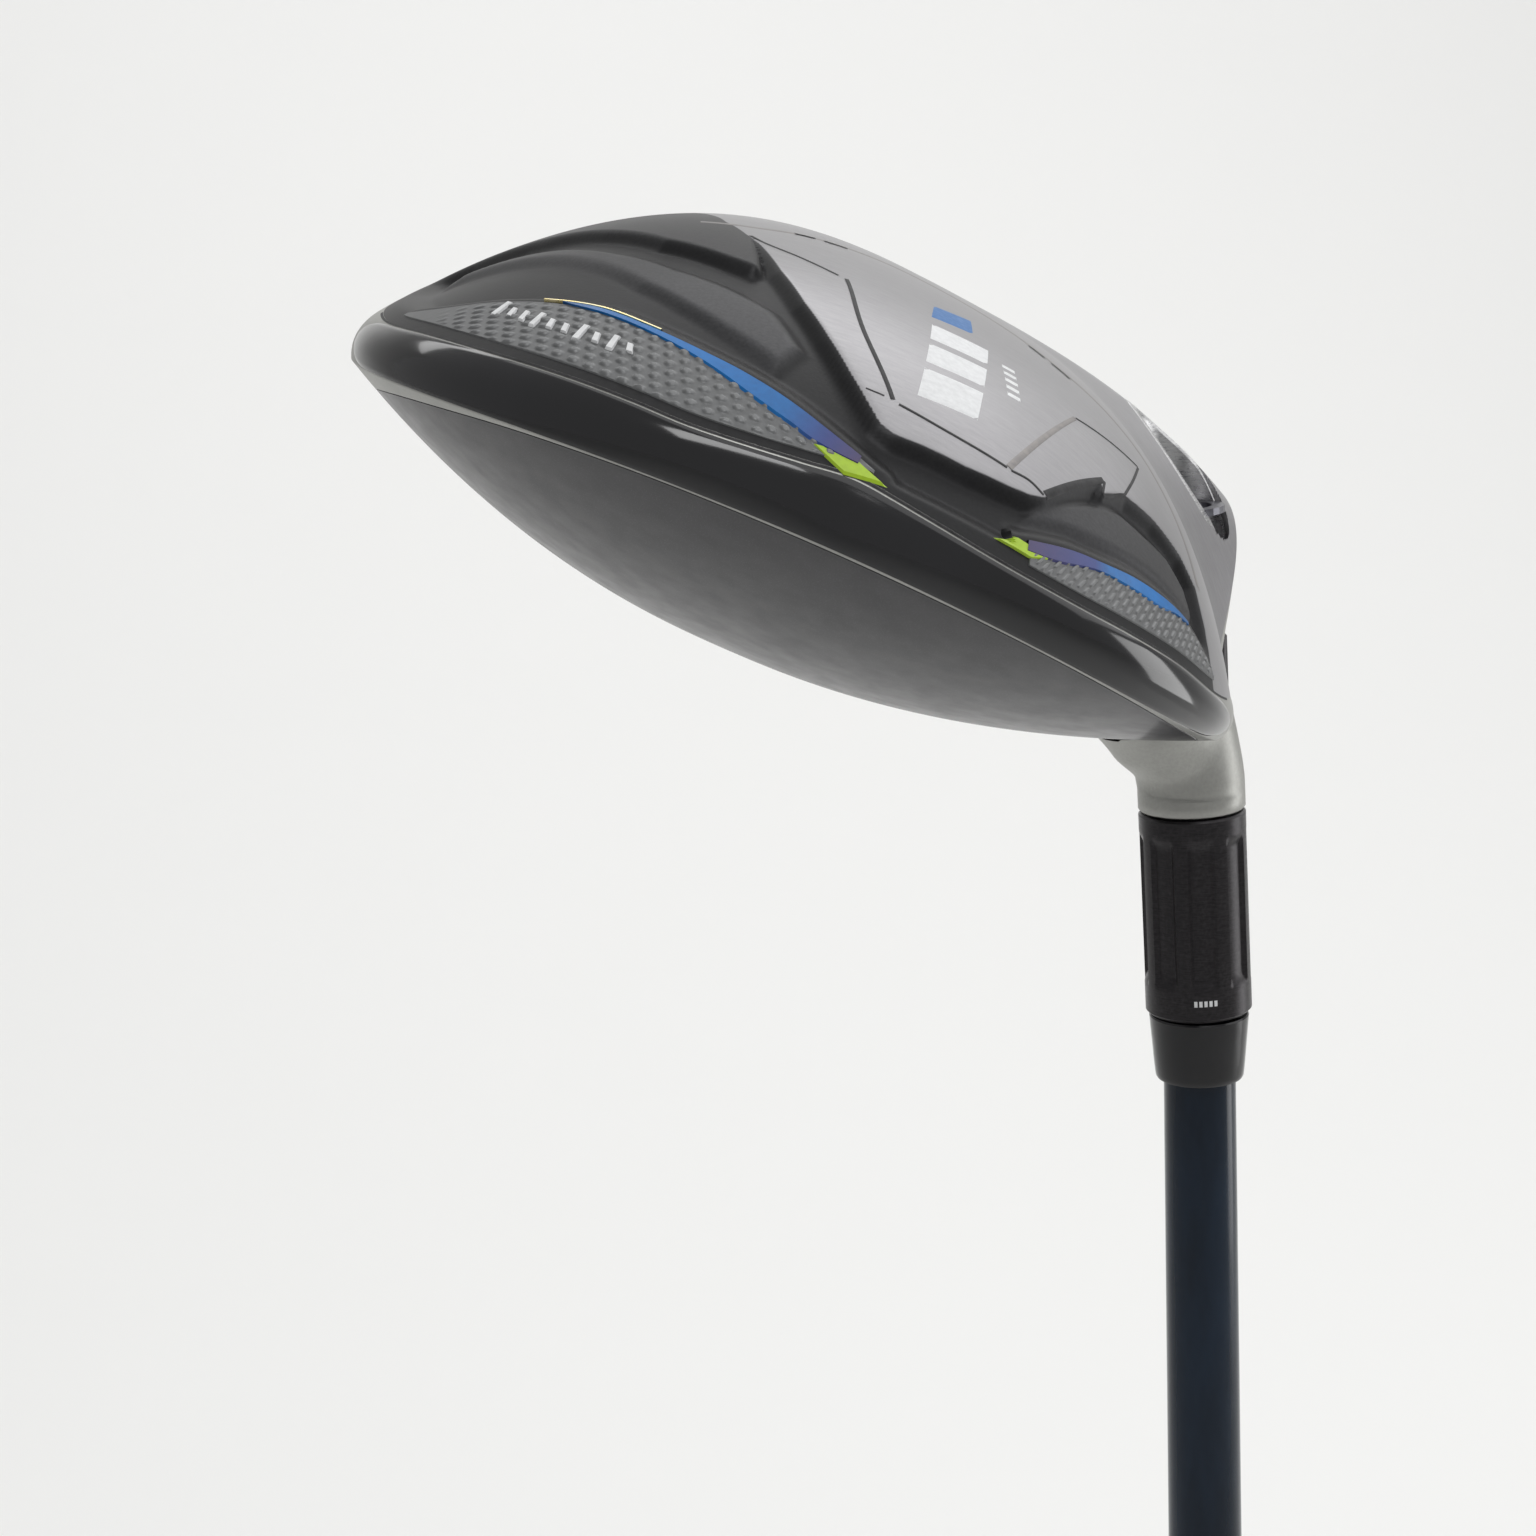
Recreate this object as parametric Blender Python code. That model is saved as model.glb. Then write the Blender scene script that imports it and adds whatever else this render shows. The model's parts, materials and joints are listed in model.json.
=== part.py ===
"""Adjustable fairway wood, modelled as the separate pieces that come apart on a bench.

The club stands head up: +Z runs along the shaft from the butt to the head, the origin is the
centre of the grip's butt end, the face looks along +Y and the toe points along -X.

The head is modelled in its address frame (heel to toe along X, target along Y, up along Z, origin
where the hosel's axis meets the ground). The screw and the hosel's bores are modelled along the
hosel's own axis, in which Z is the distance from the sleeve's ferrule end.
"""

import math

import bmesh
import bpy
from mathutils import Vector

MM = 0.001

# Club
CLUB_LENGTH = 1098.5 * MM          # butt to the ground, along the shaft
LIE = math.radians(58.5)           # shaft to the ground
HOSEL_TILT = math.radians(1.3)     # hosel's axis to the shaft's axis: the sleeve's bore leans by this
FIT_GAP = 0.3 * MM                 # between pieces that touch

# Grip
GRIP_LENGTH = 265 * MM
GRIP_BUTT_RADIUS = 13.4 * MM
GRIP_MOUTH_WALL = 1.5 * MM
GRIP_TAPER_POWER = 0.75            # below 1, the grip thins faster near the butt
GRIP_EDGE = 0.4 * MM
TAPE_THICKNESS = 0.5 * MM
TAPE_SETBACK = 4 * MM              # from the grip's mouth
CAP_THICKNESS = 2.4 * MM
CAP_ROUNDING = 1.2 * MM
CAP_SPIGOT_LENGTH = 5 * MM
CAP_SPIGOT_OVER_TAPE = 1.6 * MM    # spigot's outside beyond the tape's
CAP_SPIGOT_WALL = 1.2 * MM
VENT_RADIUS = 1.3 * MM

# Shaft
SHAFT_BUTT_RADIUS = 7.62 * MM
SHAFT_TIP_RADIUS = 4.3 * MM
SHAFT_TIP_STRAIGHT = 35 * MM       # length that doesn't taper at the tip
SHAFT_BUTT_STRAIGHT = 60 * MM
SHAFT_WALL = 1.1 * MM
SHAFT_INSERTION = 24 * MM          # how far the tip reaches into the sleeve

# Loft sleeve
SLEEVE_WALL = 2.0 * MM
SLEEVE_RADIUS = SHAFT_TIP_RADIUS + SLEEVE_WALL
SLEEVE_LENGTH = 24.7 * MM          # the part that stays outside the hosel
SLEEVE_FLUTES = 8
FLUTE_DEPTH = 0.45 * MM
FLUTE_START = 4.5 * MM             # from the ferrule end
FLUTE_LENGTH = SLEEVE_LENGTH - FLUTE_START - 3.2 * MM
FLUTE_RUNOUT = 0.8 * MM
SHOULDER_WIDTH = 1.2 * MM          # where the sleeve rests on the hosel's rim
SPIGOT_RADIUS = SLEEVE_RADIUS - SHOULDER_WIDTH
SPLINES = 12
SPLINE_DEPTH = 0.5 * MM
SPLINE_BAND = 8 * MM               # length of the splined end of the spigot
SPLINE_RUNOUT = 0.4 * MM           # where the splines fade into the round
FERRULE_LENGTH = 8.3 * MM
FERRULE_END_RADIUS = SHAFT_TIP_RADIUS + 2 * FIT_GAP
FERRULE_TAPER = ((1.1 * MM, 0.75 * MM), (FERRULE_LENGTH - FIT_GAP, 1.05 * MM))   # length, swell
EDGE_CHAMFER = 0.5 * MM            # on the sleeve, screw and washer

# Hosel, screw and what holds it
SPIGOT_END_ROOM = 0.8 * MM          # between the spigot's end and the web
HOSEL_FLOOR = 1.8 * MM             # web that the screw pulls on
SCREW_SHANK_RADIUS = 2.4 * MM
SCREW_ENGAGEMENT = 6.2 * MM
SCREW_HEAD_RADIUS = 4.1 * MM
SCREW_HEAD_LENGTH = 3.2 * MM
SCREW_DRIVE_RADIUS = 2.1 * MM
SCREW_DRIVE_DEPTH = 2.2 * MM
SCREW_DRIVE_LOBES = 6
SCREW_LOBE_SWELL = 0.14            # share of the drive's radius
THREAD_ROOM = 4.5 * MM             # thread beyond the screw's tip
SCREW_TRAVEL = 6.4 * MM            # eight turns of an 0.8 mm pitch
WASHER_THICKNESS = 1.0 * MM
RECESS_RADIUS = SCREW_HEAD_RADIUS + 2 * FIT_GAP     # counterbore in the sole
RING_THICKNESS = 0.8 * MM
RING_HOLD = 0.6 * MM               # how far the ring reaches in over the screw's head
RING_INNER_RADIUS = SCREW_HEAD_RADIUS - RING_HOLD
RING_GROOVE_DEPTH = 0.6 * MM
RING_TO_GROUND = 10.779 * MM       # along the hosel's axis
NECK_FLARE = ((5, 0), (9, 0.5), (13, 1.3), (18, 1.7), (24, 1.5), (32, 0.6))   # mm below the rim, swell
NECK_END_SWELL = 0.4 * MM

# Head, in its address frame
HEAD_CENTRE = Vector((30.4, -20.9)) * MM
TOE_REACH = 54.2 * MM
HEEL_REACH = 46.1 * MM
REAR_REACH = 47.2 * MM
CROWN_FRONT_REACH = 30.4 * MM
SOLE_FRONT_REACH = 43 * MM
CORNER_POWER = 2.3                 # superellipse power of the outline
HEEL_FRONT_POWER = 3.2
CROWN_PEAK = Vector((35.0, -16.5)) * MM
CROWN_RISE = 18.6 * MM
CROWN_RIM_HEIGHT = 26.1 * MM
SEAM_HEIGHT = 18.3 * MM            # sole to skirt edge, at the rear
SEAM_INSET = 0.95 * MM
SOLE_LOW_POINT = Vector((30.4, -7.6)) * MM
SOLE_POWER = 2.7
SOLE_EDGE_TURN = (-21 * MM, 8 * MM)     # where the seam turns into the leading edge, front to back
LEADING_EDGE_HEIGHT = 3.0 * MM
TOE_LIFT = 8.5 * MM                # rise of the leading edge towards the toe
HEEL_LIFT = 4.5 * MM               # and towards the heel
HOSEL_RIM_HEIGHT = 39.8 * MM
LOFT = math.radians(16)
FACE_ADVANCE = 16.2 * MM           # leading edge ahead of the hosel's axis
FACE_BULGE_RADIUS = 270 * MM
FACE_ROLL_RADIUS = 285 * MM
FACE_BLEND = 0.06                  # share of the crown over which the wall turns into the face
SKIRT_BULGE = 1.0 * MM
SOLE_WALL = 2.6 * MM
SKIRT_WALL = 1.5 * MM
CROWN_WALL = 1.2 * MM
LEDGE_WIDTH = 5 * MM
LEDGE_THICKNESS = 1.0 * MM
REAR_STRIP = 1.2 * MM              # metal rim outside the crown shell, at the rear
FRONT_STRIP = 12 * MM              # the same behind the face
STRIP_TURN = (-0.15, 0.62)         # sine of the outline angle, from the rear width to the front width

# Pieces let into the head
FACE_PLATE_SIZE = (37 * MM, 12.4 * MM)
FACE_PLATE_CENTRE = (31 * MM, 17.6 * MM)
FACE_PLATE_THICKNESS = 2.2 * MM
FACE_PLATE_POWER = 2.6
FACE_PLATE_LEAN = 0.06             # rise towards the toe
SLOT_CENTRE = (31 * MM, 7.6 * MM)
SLOT_LENGTH = 56 * MM
SLOT_WIDTH = 3.4 * MM
SLOT_SAG = 2.2 * MM
BADGE_INSET = 1.4 * MM             # from the seam
TOE_BADGE_SPAN = (-19, -88)        # degrees round the outline
TOE_BADGE_WIDTHS = (2.2 * MM, 14.5 * MM, 3.0 * MM)
HEEL_BADGE_SPAN = (-147, -106)
HEEL_BADGE_WIDTHS = (2.0 * MM, 8 * MM, 2.4 * MM)
INLAY_THICKNESS = 1.1 * MM
KEEL_THICKNESS = 1.5 * MM
KEEL_CORNERS = (                   # mm, in plan
    (52, -30.5), (43.5, -35.5), (39.3, -47.3), (34.5, -56), (21.7, -56.8), (15.8, -39.3),
    (8, -34.5), (7, -14), (13, 1), (47, 1), (54, -14),
)

CUT_OVERRUN = 3 * MM               # how far a cutter stands out of what it cuts
RECESS_OVERRUN = 12 * MM
TRIM_SPREAD = 1.6                  # the sole's trimming block, as a share of the sole's size
TRIM_DEPTH = 30 * MM
FACE_CUT_AHEAD = 4 * MM
FACE_CUT_BEHIND = 7 * MM
NECK_INSET = 0.4 * MM              # the neck's foot stays this far inside the sole

COLUMNS = 64                       # points around the head
ROUND = 28                         # points around turned pieces
SPLINED_ROUND = 60                 # a multiple of the splines
SOLE_SHARES = (0.2, 0.4, 0.56, 0.7, 0.82, 0.92, 1.0)
WALL_SHARES = (0.25, 0.5, 0.75, 1.0)
CROWN_SHARES = (0.2, 0.4, 0.58, 0.74, 0.88, 1.0)

# Derived: distances along the hosel's axis from the sleeve's ferrule end
GROUND = SLEEVE_LENGTH + HOSEL_RIM_HEIGHT / math.sin(LIE)
HOSEL_RIM = SLEEVE_LENGTH + FIT_GAP / 2
RING_START = GROUND - RING_TO_GROUND - RING_THICKNESS
SCREW_HEAD_END = RING_START - FIT_GAP - SCREW_TRAVEL
SCREW_HEAD_START = SCREW_HEAD_END - SCREW_HEAD_LENGTH
WASHER_START = SCREW_HEAD_START - FIT_GAP - WASHER_THICKNESS
WASHER_SEAT = WASHER_START - FIT_GAP
BORE_FLOOR = WASHER_SEAT - HOSEL_FLOOR
SPIGOT_END = BORE_FLOOR - SPIGOT_END_ROOM
BORE_RADIUS = SPIGOT_RADIUS + FIT_GAP
SHANK_HOLE_RADIUS = SCREW_SHANK_RADIUS + FIT_GAP
CAP_SPIGOT_RADIUS = SHAFT_BUTT_RADIUS + 2 * FIT_GAP + TAPE_THICKNESS + CAP_SPIGOT_OVER_TAPE


# ---------------------------------------------------------------- mesh helpers

def clear_scene():
    for thing in list(bpy.data.objects):
        bpy.data.objects.remove(thing)


def make_material(name, colour, roughness, metallic=0.0):
    material = bpy.data.materials.new(name)
    material.use_nodes = True
    shader = material.node_tree.nodes["Principled BSDF"]
    shader.inputs["Base Color"].default_value = (*colour, 1.0)
    shader.inputs["Roughness"].default_value = roughness
    shader.inputs["Metallic"].default_value = metallic
    return material


def make_empty(name, parent=None, location=(0, 0, 0), rotation=(0, 0, 0)):
    empty = bpy.data.objects.new(name, None)
    bpy.context.collection.objects.link(empty)
    empty.parent = parent
    empty.location = location
    empty.rotation_euler = rotation
    return empty


def make_object(name, mesh, material, parent=None):
    thing = bpy.data.objects.new(name, mesh)
    bpy.context.collection.objects.link(thing)
    thing.parent = parent
    mesh.materials.append(material)
    return thing


def ring_mesh(name, rings, first_pole=None, last_pole=None, closed=False):
    """Skins rings of points that run the same way round. A pole closes an end to one point."""
    work = bmesh.new()
    rows = [[work.verts.new(point) for point in ring] for ring in rings]
    count = len(rows[0])
    pairs = list(zip(rows, rows[1:]))
    if closed:
        pairs.append((rows[-1], rows[0]))
    for low, high in pairs:
        for i in range(count):
            j = (i + 1) % count
            work.faces.new((low[i], low[j], high[j], high[i]))
    for pole, row in ((first_pole, rows[0]), (last_pole, rows[-1])):
        if pole is None:
            continue
        tip = work.verts.new(pole)
        for i in range(count):
            work.faces.new((row[i], row[(i + 1) % count], tip))
    bmesh.ops.recalc_face_normals(work, faces=work.faces)
    mesh = bpy.data.meshes.new(name)
    work.to_mesh(mesh)
    work.free()
    mesh.shade_smooth()
    mesh.set_sharp_from_angle(angle=math.radians(35))
    return mesh


def circle(radius, height, count=ROUND):
    """A level circle. radius is a number or a function of the angle."""
    points = []
    for i in range(count):
        angle = math.tau * i / count
        reach = radius(angle) if callable(radius) else radius
        points.append(Vector((reach * math.cos(angle), reach * math.sin(angle), height)))
    return points


def turned_mesh(name, profile, count=ROUND):
    """Turns a closed profile of (radius, height) pairs about Z. Radius 0 closes an end to a point."""
    first = Vector((0, 0, profile[0][1])) if profile[0][0] == 0 else None
    last = Vector((0, 0, profile[-1][1])) if profile[-1][0] == 0 else None
    body = [pair for pair in profile if pair[0] != 0]
    rings = [circle(radius, height, count) for radius, height in body]
    return ring_mesh(name, rings, first, last, closed=first is None and last is None)


def cut(target, tool, operation="DIFFERENCE"):
    """Applies a Boolean with tool, which stays in the file as a hidden wire."""
    tool.hide_render = True
    tool.display_type = "WIRE"
    boolean = target.modifiers.new(tool.name, "BOOLEAN")
    boolean.operation = operation
    boolean.solver = "EXACT"
    boolean.object = tool


def smooth_step(low, high, value):
    share = min(max((value - low) / (high - low), 0.0), 1.0)
    return share * share * (3 - 2 * share)


def mix(start, end, share):
    return start + (end - start) * share


# ---------------------------------------------------------------- head surfaces

def outline(angle, front_reach, inset):
    """The head's plan outline, a superellipse whose reach differs on each side."""
    c = math.cos(angle)
    s = math.sin(angle)
    across = (TOE_REACH if c > 0 else HEEL_REACH) - inset
    along = (front_reach if s > 0 else REAR_REACH) - inset
    power = HEEL_FRONT_POWER if c < 0 and s > 0 else CORNER_POWER
    x = HEAD_CENTRE.x + across * math.copysign(abs(c) ** (2 / power), c)
    y = HEAD_CENTRE.y + along * math.copysign(abs(s) ** (2 / power), s)
    return Vector((x, y))


def plan_shares(x, y):
    """How far a plan point lies towards the toe and the front, as shares of the head's half size."""
    return (x - HEAD_CENTRE.x) / REAR_REACH, (y - HEAD_CENTRE.y) / REAR_REACH


def seam_height(x, y):
    u, v = plan_shares(x, y)
    return SEAM_HEIGHT + (1.6 * u - 0.3 * v + 6.8 * u * u - 0.6 * v * v) * MM


def crown_rim_height(x, y):
    u, v = plan_shares(x, y)
    return CROWN_RIM_HEIGHT + (2.6 * u + 1.0 * v + 4.4 * u * u - 0.6 * v * v) * MM


def face_y(x, z):
    """The face's surface: loft, bulge and roll."""
    middle_x, middle_z = FACE_PLATE_CENTRE
    bulge = (x - middle_x) ** 2 / (2 * FACE_BULGE_RADIUS)
    roll = (z - middle_z) ** 2 / (2 * FACE_ROLL_RADIUS)
    return FACE_ADVANCE - z * math.tan(LOFT) - bulge - roll


def crown_point(angle, share):
    """On the crown: share 0 is the peak and 1 the rim of the whole outline."""
    rim = outline(angle, CROWN_FRONT_REACH, 0)
    plan = CROWN_PEAK.lerp(rim, share)
    height = crown_rim_height(plan.x, plan.y) + CROWN_RISE * (1 - share * share)
    return Vector((plan.x, plan.y, height))


def trimmed_share(point_at):
    """The largest share up to 1 whose point lies behind the face."""
    if point_at(1.0).y <= face_y(point_at(1.0).x, point_at(1.0).z):
        return 1.0
    low = 0.1
    high = 1.0
    for _ in range(30):
        middle = (low + high) / 2
        point = point_at(middle)
        if point.y <= face_y(point.x, point.z):
            low = middle
        else:
            high = middle
    return low


def crown_edge_share(angle):
    return trimmed_share(lambda share: crown_point(angle, share))


def sole_edge(angle):
    """The sole's edge: the seam at the rear, the leading edge in front."""
    rim = outline(angle, SOLE_FRONT_REACH, SEAM_INSET)
    u, _ = plan_shares(rim.x, rim.y)
    front = smooth_step(*SOLE_EDGE_TURN, rim.y)
    leading = LEADING_EDGE_HEIGHT + (TOE_LIFT if u > 0 else HEEL_LIFT) * abs(u) ** 3
    height = mix(seam_height(rim.x, rim.y), leading, front)

    def point_at(share):
        plan = SOLE_LOW_POINT.lerp(rim, share)
        return Vector((plan.x, plan.y, height))

    return point_at(trimmed_share(point_at))


def sole_point(angle, share):
    edge = sole_edge(angle)
    plan = SOLE_LOW_POINT.lerp(edge.xy, share)
    return Vector((plan.x, plan.y, edge.z * share ** SOLE_POWER))


def wall_point(angle, share):
    """Between the sole's edge (0) and the crown's edge (1): the skirt at the rear, the face in front."""
    low = sole_edge(angle)
    high_share = crown_edge_share(angle)
    high = crown_point(angle, high_share)
    point = low.lerp(high, share)
    outward = Vector((math.cos(angle), math.sin(angle), 0))
    bulged = point + outward * SKIRT_BULGE * 4 * share * (1 - share)
    on_face = Vector((point.x, face_y(point.x, point.z), point.z))
    return bulged.lerp(on_face, smooth_step(0.0, FACE_BLEND, 1 - high_share))


def head_angles():
    return [math.tau * i / COLUMNS for i in range(COLUMNS)]


def joint_inset(angle):
    """Width of the metal rim outside the crown shell."""
    return mix(REAR_STRIP, FRONT_STRIP, smooth_step(*STRIP_TURN, math.sin(angle)))


def crown_share_inset(angle, inset):
    """The crown share that lies inset behind the crown's edge, in plan."""
    edge = crown_edge_share(angle)
    reach = (crown_point(angle, edge).xy - CROWN_PEAK).length
    return edge * (1 - inset / reach)


def sole_height_at(x, y):
    """The sole's height above the ground at a plan point."""
    plan = Vector((x, y))
    aim = math.atan2(y - SOLE_LOW_POINT.y, x - SOLE_LOW_POINT.x)
    low = aim - 0.9
    high = aim + 0.9
    for _ in range(40):
        middle = (low + high) / 2
        edge = sole_edge(middle).xy - SOLE_LOW_POINT
        turn = edge.x * math.sin(aim) - edge.y * math.cos(aim)
        if turn > 0:
            low = middle
        else:
            high = middle
    edge = sole_edge(low)
    share = (plan - SOLE_LOW_POINT).length / (edge.xy - SOLE_LOW_POINT).length
    return edge.z * share ** SOLE_POWER


# ---------------------------------------------------------------- head pieces

def head_shell_mesh():
    """The cast body before its cuts: sole, skirt and front rim, open where the crown shell goes."""
    angles = head_angles()
    up = Vector((0, 0, 1))
    outer = [[sole_point(a, share) for a in angles] for share in SOLE_SHARES]
    outer += [[wall_point(a, share) for a in angles] for share in WALL_SHARES]
    joint = [crown_share_inset(a, joint_inset(a)) for a in angles]
    ledge = [crown_share_inset(a, joint_inset(a) + LEDGE_WIDTH) for a in angles]
    step = CROWN_WALL + FIT_GAP
    steps = ((joint, 0), (joint, step), (ledge, step), (ledge, step + LEDGE_THICKNESS))
    rim = []
    for shares, depth in steps:
        rim.append([crown_point(a, share) - up * depth for a, share in zip(angles, shares)])
    inner = [[inner_point(a, share, SKIRT_WALL) for a in angles] for share in (0.85, 0.5, 0.15)]
    inner += [[inner_sole_point(a, share) for a in angles] for share in reversed(SOLE_SHARES[:-1])]
    low = sole_point(0, 0) + Vector((0, 0, SOLE_WALL))
    return ring_mesh("head_body", outer + rim + inner, sole_point(0, 0), low)


def inner_point(angle, share, wall):
    """The skirt's inner side."""
    point = wall_point(angle, share)
    inward = (CROWN_PEAK - point.xy).normalized()
    floor = sole_edge(angle).z + SOLE_WALL
    ceiling = crown_point(angle, crown_edge_share(angle)).z - CROWN_WALL - FIT_GAP - LEDGE_THICKNESS
    return Vector((point.x + inward.x * wall, point.y + inward.y * wall, mix(floor, ceiling, share)))


def inner_sole_point(angle, share):
    point = sole_point(angle, share)
    return point + Vector((0, 0, SOLE_WALL))


def crown_shell_mesh():
    angles = head_angles()
    down = Vector((0, 0, -CROWN_WALL))
    edge = [crown_share_inset(a, joint_inset(a) + FIT_GAP) for a in angles]
    top = [[crown_point(a, k * share) for a, share in zip(angles, edge)] for k in CROWN_SHARES]
    under = [[point + down for point in ring] for ring in reversed(top)]
    peak = crown_point(0, 0)
    return ring_mesh("crown_shell", top + under, peak, peak + down)


def face_outline(angle, grow=0.0):
    c = math.cos(angle)
    s = math.sin(angle)
    half_x, half_z = FACE_PLATE_SIZE
    middle_x, middle_z = FACE_PLATE_CENTRE
    x = middle_x + (half_x + grow) * math.copysign(abs(c) ** (2 / FACE_PLATE_POWER), c)
    lean = FACE_PLATE_LEAN * (x - middle_x)
    z = middle_z + lean + (half_z + grow) * math.copysign(abs(s) ** (2 / FACE_PLATE_POWER), s)
    return x, z


def face_slab(name, grow, front, back):
    """A slab that follows the face, from front ahead of it to back behind it."""
    middle_x, middle_z = FACE_PLATE_CENTRE
    angles = [math.tau * i / ROUND for i in range(ROUND)]

    def ring(share, offset):
        points = []
        for a in angles:
            x, z = face_outline(a, grow)
            x = mix(middle_x, x, share)
            z = mix(middle_z, z, share)
            points.append(Vector((x, face_y(x, z) + offset, z)))
        return points

    shares = (0.35, 0.7, 1.0)
    rings = [ring(k, front) for k in shares] + [ring(k, -back) for k in reversed(shares)]
    centre = Vector((middle_x, face_y(middle_x, middle_z), middle_z))
    first = centre + Vector((0, front, 0))
    last = centre - Vector((0, back, 0))
    return ring_mesh(name, rings, first, last)


def sole_patch(name, edge_points, top, bottom, rows=4):
    """A plate that follows the sole inside a closed plan outline, from top below the sole's surface
    to bottom above it. Both are distances into the metal."""
    centre = sum(edge_points, Vector((0, 0))) / len(edge_points)

    def ring(share, depth):
        points = []
        for point in edge_points:
            plan = centre.lerp(point, share)
            points.append(Vector((plan.x, plan.y, sole_height_at(plan.x, plan.y) + depth)))
        return points

    shares = [k / rows for k in range(1, rows + 1)]
    rings = [ring(k, top) for k in shares] + [ring(k, bottom) for k in reversed(shares)]
    height = sole_height_at(centre.x, centre.y)
    first = Vector((centre.x, centre.y, height + top))
    last = Vector((centre.x, centre.y, height + bottom))
    return ring_mesh(name, rings, first, last)


def divided_outline(corners, per_side=3):
    """A closed outline through corners with evenly spaced points along each side."""
    points = []
    for start, end in zip(corners, corners[1:] + corners[:1]):
        points += [start.lerp(end, k / per_side) for k in range(per_side)]
    return points


def scaled_outline(points, grow):
    """The outline moved outward by grow along its own normals."""
    moved = []
    count = len(points)
    for i, point in enumerate(points):
        along = (points[(i + 1) % count] - points[i - 1]).normalized()
        moved.append(point + Vector((along.y, -along.x)) * grow)
    return moved


def strip_patch(name, outer, inner, top, bottom, across=4):
    """A plate that follows the sole between two plan curves with the same number of points."""
    rings = []
    for start, end in zip(outer, inner):
        plan = [start.lerp(end, k / across) for k in range(across + 1)]
        heights = [sole_height_at(point.x, point.y) for point in plan]
        low = [Vector((point.x, point.y, height + top)) for point, height in zip(plan, heights)]
        high = [Vector((point.x, point.y, height + bottom)) for point, height in zip(plan, heights)]
        rings.append(low + high[::-1])
    first = sum(rings[0], Vector()) / len(rings[0])
    last = sum(rings[-1], Vector()) / len(rings[-1])
    return ring_mesh(name, rings, first, last)


def crescent(span, widths, grow, steps=14):
    """The outer and inner edges of a crescent inside the sole's seam. span is its two outline angles
    in degrees. widths steers its width from start to end. grow widens it all round."""
    start, end = span
    outer = []
    inner = []
    spread = math.degrees(grow / REAR_REACH) * math.copysign(1, end - start)
    for i in range(steps + 1):
        share = i / steps
        angle = math.radians(mix(start - spread, end + spread, share))
        edge = sole_edge(angle).xy
        inward = (SOLE_LOW_POINT - edge).normalized()
        width = mix(mix(widths[0], widths[1], share), mix(widths[1], widths[2], share), share)
        outer.append(edge + inward * (BADGE_INSET - grow))
        inner.append(edge + inward * (BADGE_INSET + width + grow))
    return outer, inner


def slot(grow, steps=12):
    """The two long edges of the slot behind the leading edge."""
    half = SLOT_LENGTH / 2 + grow
    edges = []
    for side in (-1, 1):
        edge = []
        for i in range(steps + 1):
            share = 2 * i / steps - 1
            sag = SLOT_SAG * share * share
            x = SLOT_CENTRE[0] + share * half
            edge.append(Vector((x, SLOT_CENTRE[1] - sag + side * (SLOT_WIDTH / 2 + grow))))
        edges.append(edge)
    return edges[0], edges[1]


def oriented(points):
    """The outline, running anticlockwise."""
    area = sum(a.x * b.y - b.x * a.y for a, b in zip(points, points[1:] + points[:1]))
    return points if area > 0 else points[::-1]


def build_inlays(materials, address, body):
    """Cuts a pocket for each piece let into the sole, and adds the piece."""
    clear_below = -CUT_OVERRUN

    def toe_crescent(grow):
        return crescent(TOE_BADGE_SPAN, TOE_BADGE_WIDTHS, grow)

    def heel_crescent(grow):
        return crescent(HEEL_BADGE_SPAN, HEEL_BADGE_WIDTHS, grow)

    strips = (
        ("toe_badge", toe_crescent, INLAY_THICKNESS, FIT_GAP),
        ("heel_badge", heel_crescent, INLAY_THICKNESS, FIT_GAP),
        ("slot_insert", slot, SOLE_WALL, CUT_OVERRUN),
    )
    for name, edges, thickness, below in strips:
        pocket = strip_patch(name + "_pocket", *edges(FIT_GAP), clear_below, thickness + below)
        cut(body, make_object(name + "_pocket", pocket, materials["body"], address))
        make_object(name, strip_patch(name, *edges(0), 0, thickness), materials[name], address)
    keel = oriented(divided_outline([Vector(pair) * MM for pair in KEEL_CORNERS]))
    pocket_edge = scaled_outline(keel, FIT_GAP)
    pocket = sole_patch("keel_pocket", pocket_edge, clear_below, KEEL_THICKNESS + FIT_GAP)
    cut(body, make_object("keel_pocket", pocket, materials["body"], address))
    plate = sole_patch("keel_plate", keel, 0, KEEL_THICKNESS)
    make_object("keel_plate", plate, materials["keel_plate"], address)


# ---------------------------------------------------------------- hosel, measured from the sleeve's end

def splined(radius, angle):
    """A radius that dips by the spline depth once for each spline."""
    return radius - SPLINE_DEPTH * (0.5 - 0.5 * math.cos(SPLINES * angle))


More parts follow.
